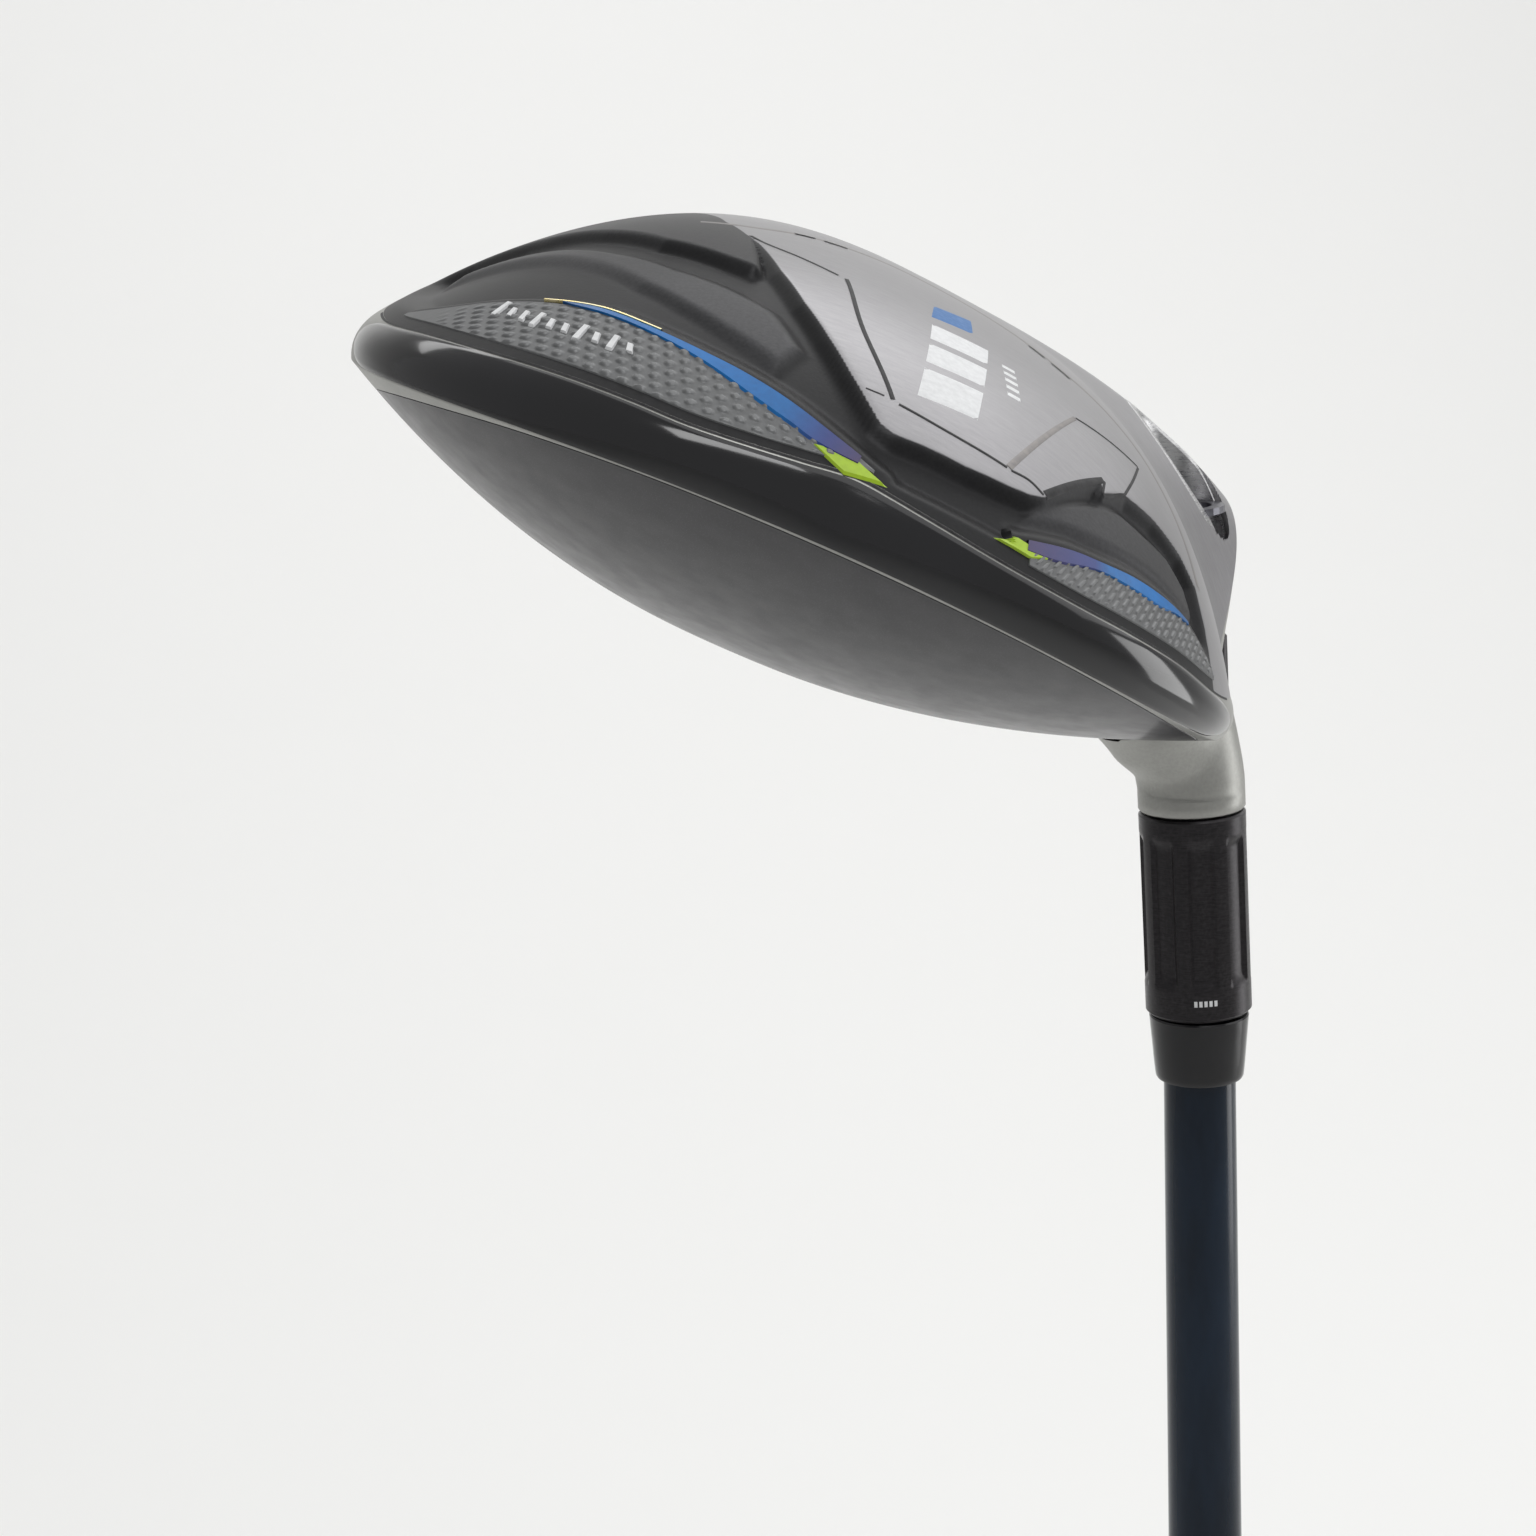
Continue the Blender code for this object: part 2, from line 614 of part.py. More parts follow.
def hosel_bore_rings():
    """The bore that takes the spigot, the shank hole and the recess for the screw's head."""
    count = SPLINED_ROUND
    ribs_start = SPIGOT_END - SPLINE_BAND + SPLINE_RUNOUT + FIT_GAP

    def ribbed(angle):
        return splined(BORE_RADIUS, angle)

    groove = RECESS_RADIUS + RING_GROOVE_DEPTH
    return [
        circle(BORE_RADIUS, HOSEL_RIM - CUT_OVERRUN, count),
        circle(BORE_RADIUS, ribs_start, count),
        circle(ribbed, ribs_start + SPLINE_RUNOUT, count),
        circle(ribbed, BORE_FLOOR, count),
        circle(SHANK_HOLE_RADIUS, BORE_FLOOR, count),
        circle(SHANK_HOLE_RADIUS, WASHER_SEAT, count),
        circle(RECESS_RADIUS, WASHER_SEAT, count),
        circle(RECESS_RADIUS, RING_START - FIT_GAP, count),
        circle(groove, RING_START - FIT_GAP, count),
        circle(groove, RING_START + RING_THICKNESS + FIT_GAP, count),
        circle(RECESS_RADIUS, RING_START + RING_THICKNESS + FIT_GAP, count),
        circle(RECESS_RADIUS, GROUND + RECESS_OVERRUN, count),
    ]


def loft_sleeve_mesh():
    """The sleeve with its flutes, spigot and splines. Its shaft bore is cut afterwards."""
    count = SPLINED_ROUND
    flute_end = FLUTE_START + FLUTE_LENGTH

    def fluted(angle):
        wave = math.cos(SLEEVE_FLUTES * angle)
        return SLEEVE_RADIUS - FLUTE_DEPTH * smooth_step(-0.1, 0.5, wave)

    def grooved(angle):
        return splined(SPIGOT_RADIUS, angle)

    shoulder = SLEEVE_LENGTH - FIT_GAP / 2
    thread_floor = SPIGOT_END - SCREW_ENGAGEMENT - THREAD_ROOM
    rings = [
        circle(SLEEVE_RADIUS - EDGE_CHAMFER, 0, count),
        circle(SLEEVE_RADIUS, EDGE_CHAMFER, count),
        circle(SLEEVE_RADIUS, FLUTE_START, count),
        circle(fluted, FLUTE_START + FLUTE_RUNOUT, count),
        circle(fluted, flute_end - FLUTE_RUNOUT, count),
        circle(SLEEVE_RADIUS, flute_end, count),
        circle(SLEEVE_RADIUS, shoulder, count),
        circle(SPIGOT_RADIUS, shoulder, count),
        circle(SPIGOT_RADIUS, SPIGOT_END - SPLINE_BAND, count),
        circle(grooved, SPIGOT_END - SPLINE_BAND + SPLINE_RUNOUT, count),
        circle(grooved, SPIGOT_END, count),
        circle(SHANK_HOLE_RADIUS, SPIGOT_END, count),
        circle(SHANK_HOLE_RADIUS, thread_floor, count),
    ]
    return ring_mesh("loft_sleeve", rings, Vector((0, 0, 0)), Vector((0, 0, thread_floor)))


def screw_mesh():
    tip = SPIGOT_END - SCREW_ENGAGEMENT
    floor = SCREW_HEAD_END - SCREW_DRIVE_DEPTH

    def drive(angle):
        return SCREW_DRIVE_RADIUS * (1 + SCREW_LOBE_SWELL * math.cos(SCREW_DRIVE_LOBES * angle))

    rings = [
        circle(SCREW_SHANK_RADIUS - EDGE_CHAMFER, tip),
        circle(SCREW_SHANK_RADIUS, tip + EDGE_CHAMFER),
        circle(SCREW_SHANK_RADIUS, SCREW_HEAD_START),
        circle(SCREW_HEAD_RADIUS, SCREW_HEAD_START),
        circle(SCREW_HEAD_RADIUS, SCREW_HEAD_END - EDGE_CHAMFER),
        circle(SCREW_HEAD_RADIUS - EDGE_CHAMFER, SCREW_HEAD_END),
        circle(drive, SCREW_HEAD_END),
        circle(drive, floor),
    ]
    return ring_mesh("hosel_screw", rings, Vector((0, 0, tip)), Vector((0, 0, floor)))


# ---------------------------------------------------------------- build

def shaft_radius(height, tip):
    """The shaft's outer radius at a height above the butt."""
    low = SHAFT_BUTT_STRAIGHT
    high = tip - SHAFT_TIP_STRAIGHT
    return mix(SHAFT_BUTT_RADIUS, SHAFT_TIP_RADIUS, min(max((height - low) / (high - low), 0.0), 1.0))


def sleeve_base():
    """Height of the sleeve's ferrule end above the butt."""
    return CLUB_LENGTH - GROUND


def build_shaft_side(materials):
    """The shaft, its tape and grip, the grip's cap and the ferrule."""
    base = sleeve_base()
    tip = base + SHAFT_INSERTION
    bottom = CAP_THICKNESS + FIT_GAP
    middle = (GRIP_LENGTH + tip) / 2

    levels = (bottom, SHAFT_BUTT_STRAIGHT, GRIP_LENGTH, middle, tip - SHAFT_TIP_STRAIGHT, tip)
    outer = [(shaft_radius(z, tip), z) for z in levels]
    inner = [(radius - SHAFT_WALL, z) for radius, z in reversed(outer)]
    make_object("shaft", turned_mesh("shaft", outer + inner), materials["shaft"])

    levels = (bottom, SHAFT_BUTT_STRAIGHT, GRIP_LENGTH - TAPE_SETBACK)
    low = [(shaft_radius(z, tip) + FIT_GAP, z) for z in levels]
    high = [(radius + TAPE_THICKNESS, z) for radius, z in reversed(low)]
    make_object("grip_tape", turned_mesh("grip_tape", low + high), materials["tape"])

    make_object("grip", turned_mesh("grip", grip_profile(bottom, tip)), materials["rubber"])
    make_object("grip_end_cap", turned_mesh("grip_end_cap", cap_profile(bottom)), materials["cap"])

    bore = shaft_radius(base, tip) + FIT_GAP
    start = base - FERRULE_LENGTH
    ferrule = [(bore, start), (FERRULE_END_RADIUS, start)]
    ferrule += [(FERRULE_END_RADIUS + swell, start + length) for length, swell in FERRULE_TAPER]
    ferrule.append((bore, base - FIT_GAP))
    make_object("ferrule", turned_mesh("ferrule", ferrule), materials["ferrule"])


def grip_profile(bottom, tip, steps=10):
    """The grip's outside from the butt to the mouth, and back along its bore."""
    over_tape = FIT_GAP + TAPE_THICKNESS + FIT_GAP
    mouth = shaft_radius(GRIP_LENGTH, tip) + over_tape + GRIP_MOUTH_WALL
    skin = []
    for k in range(steps + 1):
        share = k / steps
        radius = mix(GRIP_BUTT_RADIUS, mouth, share ** GRIP_TAPER_POWER)
        skin.append((radius, mix(bottom, GRIP_LENGTH, share)))
    skin[0] = (GRIP_BUTT_RADIUS - GRIP_EDGE, bottom)
    shoulder = bottom + CAP_SPIGOT_LENGTH
    levels = (GRIP_LENGTH, SHAFT_BUTT_STRAIGHT, shoulder)
    bore = [(shaft_radius(z, tip) + over_tape, z) for z in levels]
    socket = CAP_SPIGOT_RADIUS + FIT_GAP
    return skin + bore + [(socket, shoulder), (socket, bottom)]


def cap_profile(bottom):
    """The vented cap and the spigot that holds it in the grip."""
    edge = GRIP_BUTT_RADIUS - GRIP_EDGE / 2
    inside = CAP_SPIGOT_RADIUS - CAP_SPIGOT_WALL
    end = bottom + CAP_SPIGOT_LENGTH - FIT_GAP
    return [
        (VENT_RADIUS, 0), (edge - CAP_ROUNDING, 0), (edge, CAP_ROUNDING), (edge, CAP_THICKNESS),
        (CAP_SPIGOT_RADIUS, CAP_THICKNESS), (CAP_SPIGOT_RADIUS, end), (inside, end),
        (inside, CAP_THICKNESS), (VENT_RADIUS, CAP_THICKNESS),
    ]


def build_sleeve(materials, hosel_axis):
    """The loft sleeve. Its bore lies on the shaft's axis, which leans to the hosel's."""
    sleeve = make_object("loft_sleeve", loft_sleeve_mesh(), materials["sleeve"], hosel_axis)
    base = sleeve_base()
    tip = base + SHAFT_INSERTION
    radius = shaft_radius(tip, tip) + FIT_GAP
    low = base - CUT_OVERRUN
    high = tip + 2 * FIT_GAP
    bore = turned_mesh("shaft_bore", [(0, low), (radius, low), (radius, high), (0, high)])
    cut(sleeve, make_object("shaft_bore", bore, materials["sleeve"]))


def build_screw_set(materials, hosel_axis):
    """The hosel's screw, the washer under its head and the ring that keeps it in the recess."""
    make_object("hosel_screw", screw_mesh(), materials["steel"], hosel_axis)
    hole = SHANK_HOLE_RADIUS
    outer = RECESS_RADIUS - FIT_GAP
    end = WASHER_START + WASHER_THICKNESS
    washer = [
        (hole, WASHER_START), (outer, WASHER_START), (outer, end - EDGE_CHAMFER / 2),
        (outer - EDGE_CHAMFER, end), (hole, end),
    ]
    make_object("screw_washer", turned_mesh("screw_washer", washer), materials["washer"], hosel_axis)
    outer = RECESS_RADIUS + RING_GROOVE_DEPTH - FIT_GAP
    end = RING_START + RING_THICKNESS
    ring = [(RING_INNER_RADIUS, RING_START), (outer, RING_START), (outer, end), (RING_INNER_RADIUS, end)]
    make_object("retaining_ring", turned_mesh("retaining_ring", ring), materials["ring"], hosel_axis)


def neck_mesh(low_end):
    """The hosel's tube and the flare that joins it to the head, down to the sole."""
    profile = [(0, HOSEL_RIM), (SLEEVE_RADIUS, HOSEL_RIM)]
    profile += [(SLEEVE_RADIUS + swell * MM, HOSEL_RIM + below * MM) for below, swell in NECK_FLARE]
    profile += [(SLEEVE_RADIUS + NECK_END_SWELL, low_end), (0, low_end)]
    return turned_mesh("neck", profile)


def below_sole_mesh(rise):
    """Everything under the sole's surface, raised by rise: it trims what reaches through the sole."""
    angles = head_angles()
    up = Vector((0, 0, rise))
    rings = [[sole_point(a, share) + up for a in angles] for share in SOLE_SHARES]
    wide = []
    for a in angles:
        edge = sole_edge(a)
        out = SOLE_LOW_POINT.lerp(edge.xy, TRIM_SPREAD)
        wide.append(Vector((out.x, out.y, edge.z + rise)))
    low = [Vector((point.x, point.y, -TRIM_DEPTH)) for point in wide]
    bottom = Vector((SOLE_LOW_POINT.x, SOLE_LOW_POINT.y, -TRIM_DEPTH))
    return ring_mesh("below_sole", rings + [wide, low], sole_point(0, 0) + up, bottom)


def build_head(materials, address, hosel_axis):
    """The cast body with its hosel, the crown shell, the face plate and the pieces let into the sole."""
    body = make_object("head_body", head_shell_mesh(), materials["body"], address)
    neck = make_object("neck", neck_mesh(GROUND + CUT_OVERRUN), materials["body"], hosel_axis)
    cut(neck, make_object("below_sole", below_sole_mesh(NECK_INSET), materials["body"], address))
    cut(body, neck, "UNION")
    first = Vector((0, 0, HOSEL_RIM - CUT_OVERRUN))
    last = Vector((0, 0, GROUND + RECESS_OVERRUN))
    bore = ring_mesh("hosel_bore", hosel_bore_rings(), first, last)
    cut(body, make_object("hosel_bore", bore, materials["body"], hosel_axis))

    make_object("crown_shell", crown_shell_mesh(), materials["crown"], address)

    opening = face_slab("face_opening", FIT_GAP, FACE_CUT_AHEAD, FACE_CUT_BEHIND)
    cut(body, make_object("face_opening", opening, materials["body"], address))
    plate = face_slab("face_plate", 0, 0, FACE_PLATE_THICKNESS)
    make_object("face_plate", plate, materials["face"], address)

    build_inlays(materials, address, body)


def build_materials():
    return {
        "rubber": make_material("rubber", (0.018, 0.018, 0.02), 0.75),
        "cap": make_material("cap", (0.02, 0.02, 0.022), 0.6),
        "tape": make_material("tape", (0.75, 0.72, 0.62), 0.8),
        "shaft": make_material("shaft", (0.012, 0.03, 0.05), 0.25),
        "ferrule": make_material("ferrule", (0.01, 0.01, 0.011), 0.3),
        "sleeve": make_material("sleeve", (0.03, 0.028, 0.028), 0.4, 0.8),
        "steel": make_material("steel", (0.45, 0.45, 0.46), 0.35, 1.0),
        "washer": make_material("washer", (0.6, 0.6, 0.6), 0.3, 1.0),
        "ring": make_material("ring", (0.2, 0.2, 0.21), 0.4, 1.0),
        "body": make_material("body", (0.42, 0.42, 0.41), 0.4, 0.9),
        "crown": make_material("crown", (0.05, 0.05, 0.055), 0.35, 0.4),
        "face": make_material("face", (0.35, 0.35, 0.35), 0.45, 1.0),
        "toe_badge": make_material("toe_badge", (0.2, 0.2, 0.2), 0.5, 0.6),
        "heel_badge": make_material("heel_badge", (0.2, 0.2, 0.2), 0.5, 0.6),
        "keel_plate": make_material("keel_plate", (0.3, 0.3, 0.3), 0.4, 0.9),
        "slot_insert": make_material("slot_insert", (0.05, 0.05, 0.05), 0.6),
    }


def build():
    clear_scene()
    materials = build_materials()
    hosel_axis = make_empty("hosel_axis", None, (0, 0, sleeve_base()), (0, -HOSEL_TILT, 0))
    address = make_empty("address_frame", hosel_axis, (0, 0, GROUND), (0, -(math.pi / 2 + LIE), 0))
    build_shaft_side(materials)
    build_sleeve(materials, hosel_axis)
    build_screw_set(materials, hosel_axis)
    build_head(materials, address, hosel_axis)


build()
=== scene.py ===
"""Finished look of an adjustable fairway wood, built as an add-on over the packed club.

The head's pieces are shaped in the head's address frame, in millimetres: X runs heel to toe, Y to
the target and Z up, from the point where the hosel's axis meets the ground. Pieces on the shaft's
side are turned about the shaft's axis, which is the world's Z.
"""

import json
import math

import bpy
import numpy as np
from bpy.props import FloatProperty, FloatVectorProperty, IntProperty, PointerProperty
from mathutils import Matrix, Vector
from mathutils.bvhtree import BVHTree


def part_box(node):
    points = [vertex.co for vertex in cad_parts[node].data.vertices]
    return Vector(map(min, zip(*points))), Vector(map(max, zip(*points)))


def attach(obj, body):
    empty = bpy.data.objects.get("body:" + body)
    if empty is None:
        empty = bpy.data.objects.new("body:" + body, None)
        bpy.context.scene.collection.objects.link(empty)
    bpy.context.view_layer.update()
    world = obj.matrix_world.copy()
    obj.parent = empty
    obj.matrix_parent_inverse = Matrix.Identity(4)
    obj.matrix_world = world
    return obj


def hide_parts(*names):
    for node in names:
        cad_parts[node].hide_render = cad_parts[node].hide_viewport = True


bl_info = {
    "name": "Fairway Wood Finish",
    "version": (1, 0, 0),
    "blender": (4, 5, 0),
    "location": "View3D > Sidebar > Club",
    "description": "Builds the finished pieces of an adjustable fairway wood",
    "category": "Add Mesh",
}

MM = 0.001
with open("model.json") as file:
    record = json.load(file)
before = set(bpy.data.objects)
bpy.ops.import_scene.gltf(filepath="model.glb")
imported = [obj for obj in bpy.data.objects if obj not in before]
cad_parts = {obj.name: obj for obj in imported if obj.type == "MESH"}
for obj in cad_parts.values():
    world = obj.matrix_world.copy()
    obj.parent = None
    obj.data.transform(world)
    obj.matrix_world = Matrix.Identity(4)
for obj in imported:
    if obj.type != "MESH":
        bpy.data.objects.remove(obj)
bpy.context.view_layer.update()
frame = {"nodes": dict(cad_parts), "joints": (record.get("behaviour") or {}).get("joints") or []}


def joint_record(name):
    return next(joint for joint in frame["joints"] if joint["name"] == name)


HOSEL_JOINT = joint_record("head_index")
SLEEVE_END = Vector(HOSEL_JOINT["pos_m"])
HOSEL_AXIS = Vector(HOSEL_JOINT["axis"]).normalized()


# ---------------------------------------------------------------- sizes and colours

def length(name, description, millimetres):
    return FloatProperty(name=name, description=description, default=millimetres * MM, unit="LENGTH")


def colour(name, description, value):
    return FloatVectorProperty(
        name=name, description=description, default=value, size=3, subtype="COLOR", min=0.0, max=1.0)


class ClubHeadSizes(bpy.types.PropertyGroup):
    ground: length("Ground", "Sleeve's ferrule end to the ground, along the hosel's axis", 71.379)
    lie: FloatProperty(
        name="Lie", description="Shaft to the ground", default=math.radians(58.5), subtype="ANGLE")
    centre_x: length("Centre, across", "Outline's centre from the hosel's axis, towards the toe", 30.4)
    centre_y: length("Centre, along", "Outline's centre from the hosel's axis, towards the target", -20.9)
    toe_reach: length("Toe reach", "Outline's centre to the toe", 54.2)
    heel_reach: length("Heel reach", "Outline's centre to the heel", 46.1)
    rear_reach: length("Rear reach", "Outline's centre to the rear", 47.2)
    crown_front: length("Crown front reach", "Outline's centre to the crown's front edge", 30.4)
    sole_front: length("Sole front reach", "Outline's centre to the leading edge", 43.0)
    crown_rise: length("Crown rise", "Peak of the crown above its rim", 18.6)
    crown_rim: length("Crown rim height", "Ground to the crown's rim", 26.1)
    seam: length("Seam height", "Ground to the edge between sole and skirt", 18.3)
    seam_inset: length("Seam inset", "How far the seam lies inside the outline", 0.95)
    face_advance: length("Face advance", "Leading edge ahead of the hosel's axis", 16.2)
    loft: FloatProperty(
        name="Loft", description="Lean of the face", default=math.radians(16), subtype="ANGLE")
    skirt_bulge: length("Skirt bulge", "How far the skirt swells between its edges", 1.0)
    flank_depth: length("Flank depth", "How far the dark flanks lie below the keel", 1.3)
    joint_gap: length("Joint gap", "Open line between neighbouring pieces", 0.16)
    columns: IntProperty(
        name="Columns", description="Points round the head", default=600, min=60, max=1200)


class ClubNeckSizes(bpy.types.PropertyGroup):
    rim: length("Rim", "Sleeve's ferrule end to the hosel's rim", 24.85)
    radius: length("Radius", "Outside of the hosel's tube", 6.3)
    depth: length("Depth", "Rim to the tube's rounded end inside the head", 24.0)
    bend_start: length("Bend start", "Rim to where the tube begins to lean in", 3.0)
    bend: FloatProperty(
        name="Bend", description="Lean of the tube towards the toe, per unit of depth", default=0.2)
    toe_blend: length("Toe blend", "Reach of the fillet on the toe side", 22.0)
    heel_blend: length("Heel blend", "Reach of the fillet on the heel side", 5.0)
    recess: length("Screw recess", "Radius of the recess in the sole", 4.7)
    washer_seat: length("Washer seat", "Sleeve's ferrule end to the screw's seat", 48.3)


class ClubShaftSizes(bpy.types.PropertyGroup):
    flutes: IntProperty(name="Flutes", description="Flats round the loft sleeve", default=8, min=3)
    flute_depth: length("Flute depth", "Depth of the sleeve's flats", 0.5)
    flute_start: length("Flute start", "Sleeve's ferrule end to its flats", 3.7)
    flute_end: length("Flute end", "Sleeve's ferrule end to the far end of its flats", 22.4)
    sleeve_radius: length("Sleeve radius", "Outside of the loft sleeve", 6.3)
    grip_rows: IntProperty(name="Grip rows", description="Rows of the grip's pattern", default=46, min=4)
    grip_relief: length("Grip relief", "Depth of the grip's pattern", 0.35)


class ClubFinishes(bpy.types.PropertyGroup):
    cast_metal: colour("Cast metal", "Blasted steel of the hosel and rim", (0.38, 0.38, 0.36))
    keel_metal: colour("Keel metal", "Satin plating of the keel", (0.30, 0.295, 0.305))
    flank_metal: colour("Flank metal", "Matte plating of the flanks", (0.022, 0.022, 0.023))
    # Painted light: the facets' lighter tone stands for how the light falls on the flanks' facets, not for another
    # plating.
    facet_painted_light: colour("Facet painted light", "Painted light on the flanks' facets", (0.062, 0.062, 0.065))
    crown_paint: colour("Crown paint", "Satin metallic paint", (0.014, 0.013, 0.016))
    skirt_paint: colour("Skirt paint", "Gloss black paint", (0.004, 0.004, 0.005))
    badge_resin: colour("Badge resin", "Textured inlay", (0.13, 0.133, 0.135))
    accent_blue: colour("Accent blue", "Bright stripe", (0.0, 0.13, 0.40))
    accent_lime: colour("Accent lime", "Small chips", (0.40, 0.60, 0.02))
    chalk: colour("Chalk", "Printed marks", (0.78, 0.79, 0.80))
    sleeve_anodise: colour("Sleeve anodise", "Loft sleeve", (0.028, 0.026, 0.028))
    shaft_paint: colour("Shaft paint", "Gloss navy", (0.004, 0.010, 0.020))
    rubber: colour("Rubber", "Grip", (0.016, 0.016, 0.018))
    backdrop: colour("Backdrop", "Floor and sweep", (0.86, 0.86, 0.85))


# ---------------------------------------------------------------- numbers

def smooth_step(low, high, value):
    share = np.clip((value - low) / (high - low), 0.0, 1.0)
    return share * share * (3 - 2 * share)


def curve_through(knots, at):
    """A value that runs smoothly through (position, value) knots."""
    where = np.array([knot[0] for knot in knots], float)
    value = np.array([knot[1] for knot in knots], float)
    slope = np.gradient(value, where)
    cell = np.clip(np.searchsorted(where, at) - 1, 0, len(where) - 2)
    width = where[cell + 1] - where[cell]
    share = np.clip((at - where[cell]) / width, 0.0, 1.0)
    cube = share ** 3
    square = share ** 2
    return ((2 * cube - 3 * square + 1) * value[cell] + (cube - 2 * square + share) * width * slope[cell]
            + (3 * square - 2 * cube) * value[cell + 1] + (cube - square) * width * slope[cell + 1])


def smooth_line(points, step, closed=False):
    """Points at about one step apart on a smooth line through the given ones."""
    points = np.array(points, float)
    ring = np.vstack([points, points[:1]]) if closed else points
    spans = np.linalg.norm(np.diff(ring, axis=0), axis=1)
    reach = np.concatenate([[0.0], np.cumsum(spans)])
    count = max(int(reach[-1] / step), 2)
    at = np.linspace(0.0, reach[-1], count + 1)
    if len(points) < 3:
        return np.stack([np.interp(at, reach, ring[:, k]) for k in range(ring.shape[1])], -1)
    columns = [curve_through(list(zip(reach, ring[:, k])), at) for k in range(ring.shape[1])]
    return np.stack(columns, -1)


def signed_distance(outline, x, y):
    """Distance to a closed outline in plan, below zero inside it."""
    outline = np.array(outline, float)
    best = np.full(x.shape, 1e9)
    inside = np.zeros(x.shape, bool)
    for (ax, ay), (bx, by) in zip(outline, np.roll(outline, -1, axis=0)):
        dx = bx - ax
        dy = by - ay
        share = np.clip(((x - ax) * dx + (y - ay) * dy) / (dx * dx + dy * dy), 0.0, 1.0)
        best = np.minimum(best, np.hypot(x - ax - share * dx, y - ay - share * dy))
        if ay != by:
            crosses = (ay > y) != (by > y)
            inside ^= crosses & (x < ax + (y - ay) * dx / dy)
    return np.where(inside, -best, best)


def grid_normals(points, wrap=True):
    """Unit normals of a grid of points, rows by columns."""
    down = np.gradient(points, axis=0)
    if wrap:
        along = np.roll(points, -1, axis=1) - np.roll(points, 1, axis=1)
    else:
        along = np.gradient(points, axis=1)
    normal = np.cross(along, down)
    size = np.linalg.norm(normal, axis=-1, keepdims=True)
    return normal / np.maximum(size, 1e-12)


# ---------------------------------------------------------------- meshes

def grid_faces(rows, columns, wrap):
    last = columns if wrap else columns - 1
    row, column = np.meshgrid(np.arange(rows - 1), np.arange(last), indexing="ij")
    right = (column + 1) % columns
    corners = (row * columns + column, row * columns + right, (row + 1) * columns + right, (row + 1) * columns + column)
    return np.stack(corners, -1).reshape(-1, 4)


def mesh_of(name, points, faces, values=None):
    """A smooth mesh from arrays. values are named numbers, one for each point."""
    points = np.asarray(points, np.float32)
    faces = np.asarray(faces, np.int32)
    mesh = bpy.data.meshes.new(name)
    mesh.vertices.add(len(points))
    mesh.vertices.foreach_set("co", points.ravel())
    mesh.loops.add(faces.size)
    mesh.loops.foreach_set("vertex_index", faces.ravel())
    mesh.polygons.add(len(faces))
    mesh.polygons.foreach_set("loop_start", np.arange(0, faces.size, faces.shape[1], dtype=np.int32))
    mesh.update(calc_edges=True)
    for key, numbers in (values or {}).items():
        mesh.attributes.new(key, "FLOAT", "POINT").data.foreach_set("value", np.asarray(numbers, np.float32).ravel())
    mesh.validate()
    mesh.shade_smooth()
    return mesh


class PatchSet:
    """Grids of points gathered into one mesh."""

    def __init__(self):
        self.points = []
        self.faces = []
        self.values = {}
        self.count = 0

    def add(self, grid, wrap=False, facing=None, flip=False, **values):
        """Adds a grid. facing is a direction that its faces should look along on the whole."""
        rows, columns = grid.shape[:2]
        if facing is not None:
            flip = (grid_normals(grid, wrap) @ np.array(facing)).mean() < 0
        faces = grid_faces(rows, columns, wrap) + self.count
        self.faces.append(faces[:, ::-1] if flip else faces)
        self.points.append(grid.reshape(-1, 3))
        for key in set(self.values) | set(values):
            numbers = np.broadcast_to(values.get(key, 0.0), (rows, columns)).reshape(-1)
            earlier = self.values.setdefault(key, np.zeros(self.count))
            self.values[key] = np.concatenate([earlier, numbers])
        self.count += rows * columns

    def mesh(self, name, placement=Matrix.Identity(4), sharp=math.radians(38)):
        points = place(placement, np.vstack(self.points))
        mesh = mesh_of(name, points, np.vstack(self.faces), self.values)
        mesh.set_sharp_from_angle(angle=sharp)
        return mesh


def place(matrix, points):
    """Moves points by a matrix. The matrix takes metres, and the points are in millimetres."""
    array = np.array(matrix)
    return points * MM @ array[:3, :3].T + array[:3, 3]


def add_piece(name, mesh, finish, body, replaced=()):
    thing = bpy.data.objects.new(name, mesh)
    bpy.context.scene.collection.objects.link(thing)
    for one in finish if isinstance(finish, (list, tuple)) else [finish]:
        mesh.materials.append(one)
    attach(thing, body)
    if replaced:
        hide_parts(*replaced)
    return thing


def turned_grid(profile, count, shape=None):
    """Turns (radius, height) pairs about Z. shape may change the radius by row and angle."""
    profile = np.array(profile, float)
    angle = np.linspace(0.0, math.tau, count, endpoint=False)
    radius = np.repeat(profile[:, :1], count, axis=1)
    height = np.repeat(profile[:, 1:], count, axis=1)
    if shape is not None:
        radius = shape(radius, height, np.broadcast_to(angle, radius.shape))
    return np.stack([radius * np.cos(angle), radius * np.sin(angle), height], -1)


def dense_profile(corners, step):
    """(radius, height) corners with points added along each straight run."""
    out = []
    for (ra, za), (rb, zb) in zip(corners, corners[1:]):
        count = max(int(math.hypot(rb - ra, zb - za) / step), 1)
        out += [(ra + (rb - ra) * k / count, za + (zb - za) * k / count) for k in range(count)]
    return out + [corners[-1]]


# ---------------------------------------------------------------- the head's form

SOLE_POWER = 2.7
DOWN = (0.0, 0.0, -1.0)
REARWARD = (0.0, -1.0, 0.0)
FORWARD = (0.0, 1.0, 0.0)
SOLE_LOW = (30.4, -7.6)
CROWN_PEAK = (35.0, -16.5)
FACE_MIDDLE = (31.0, 17.6)
NECK_OVERLAP = 4.6

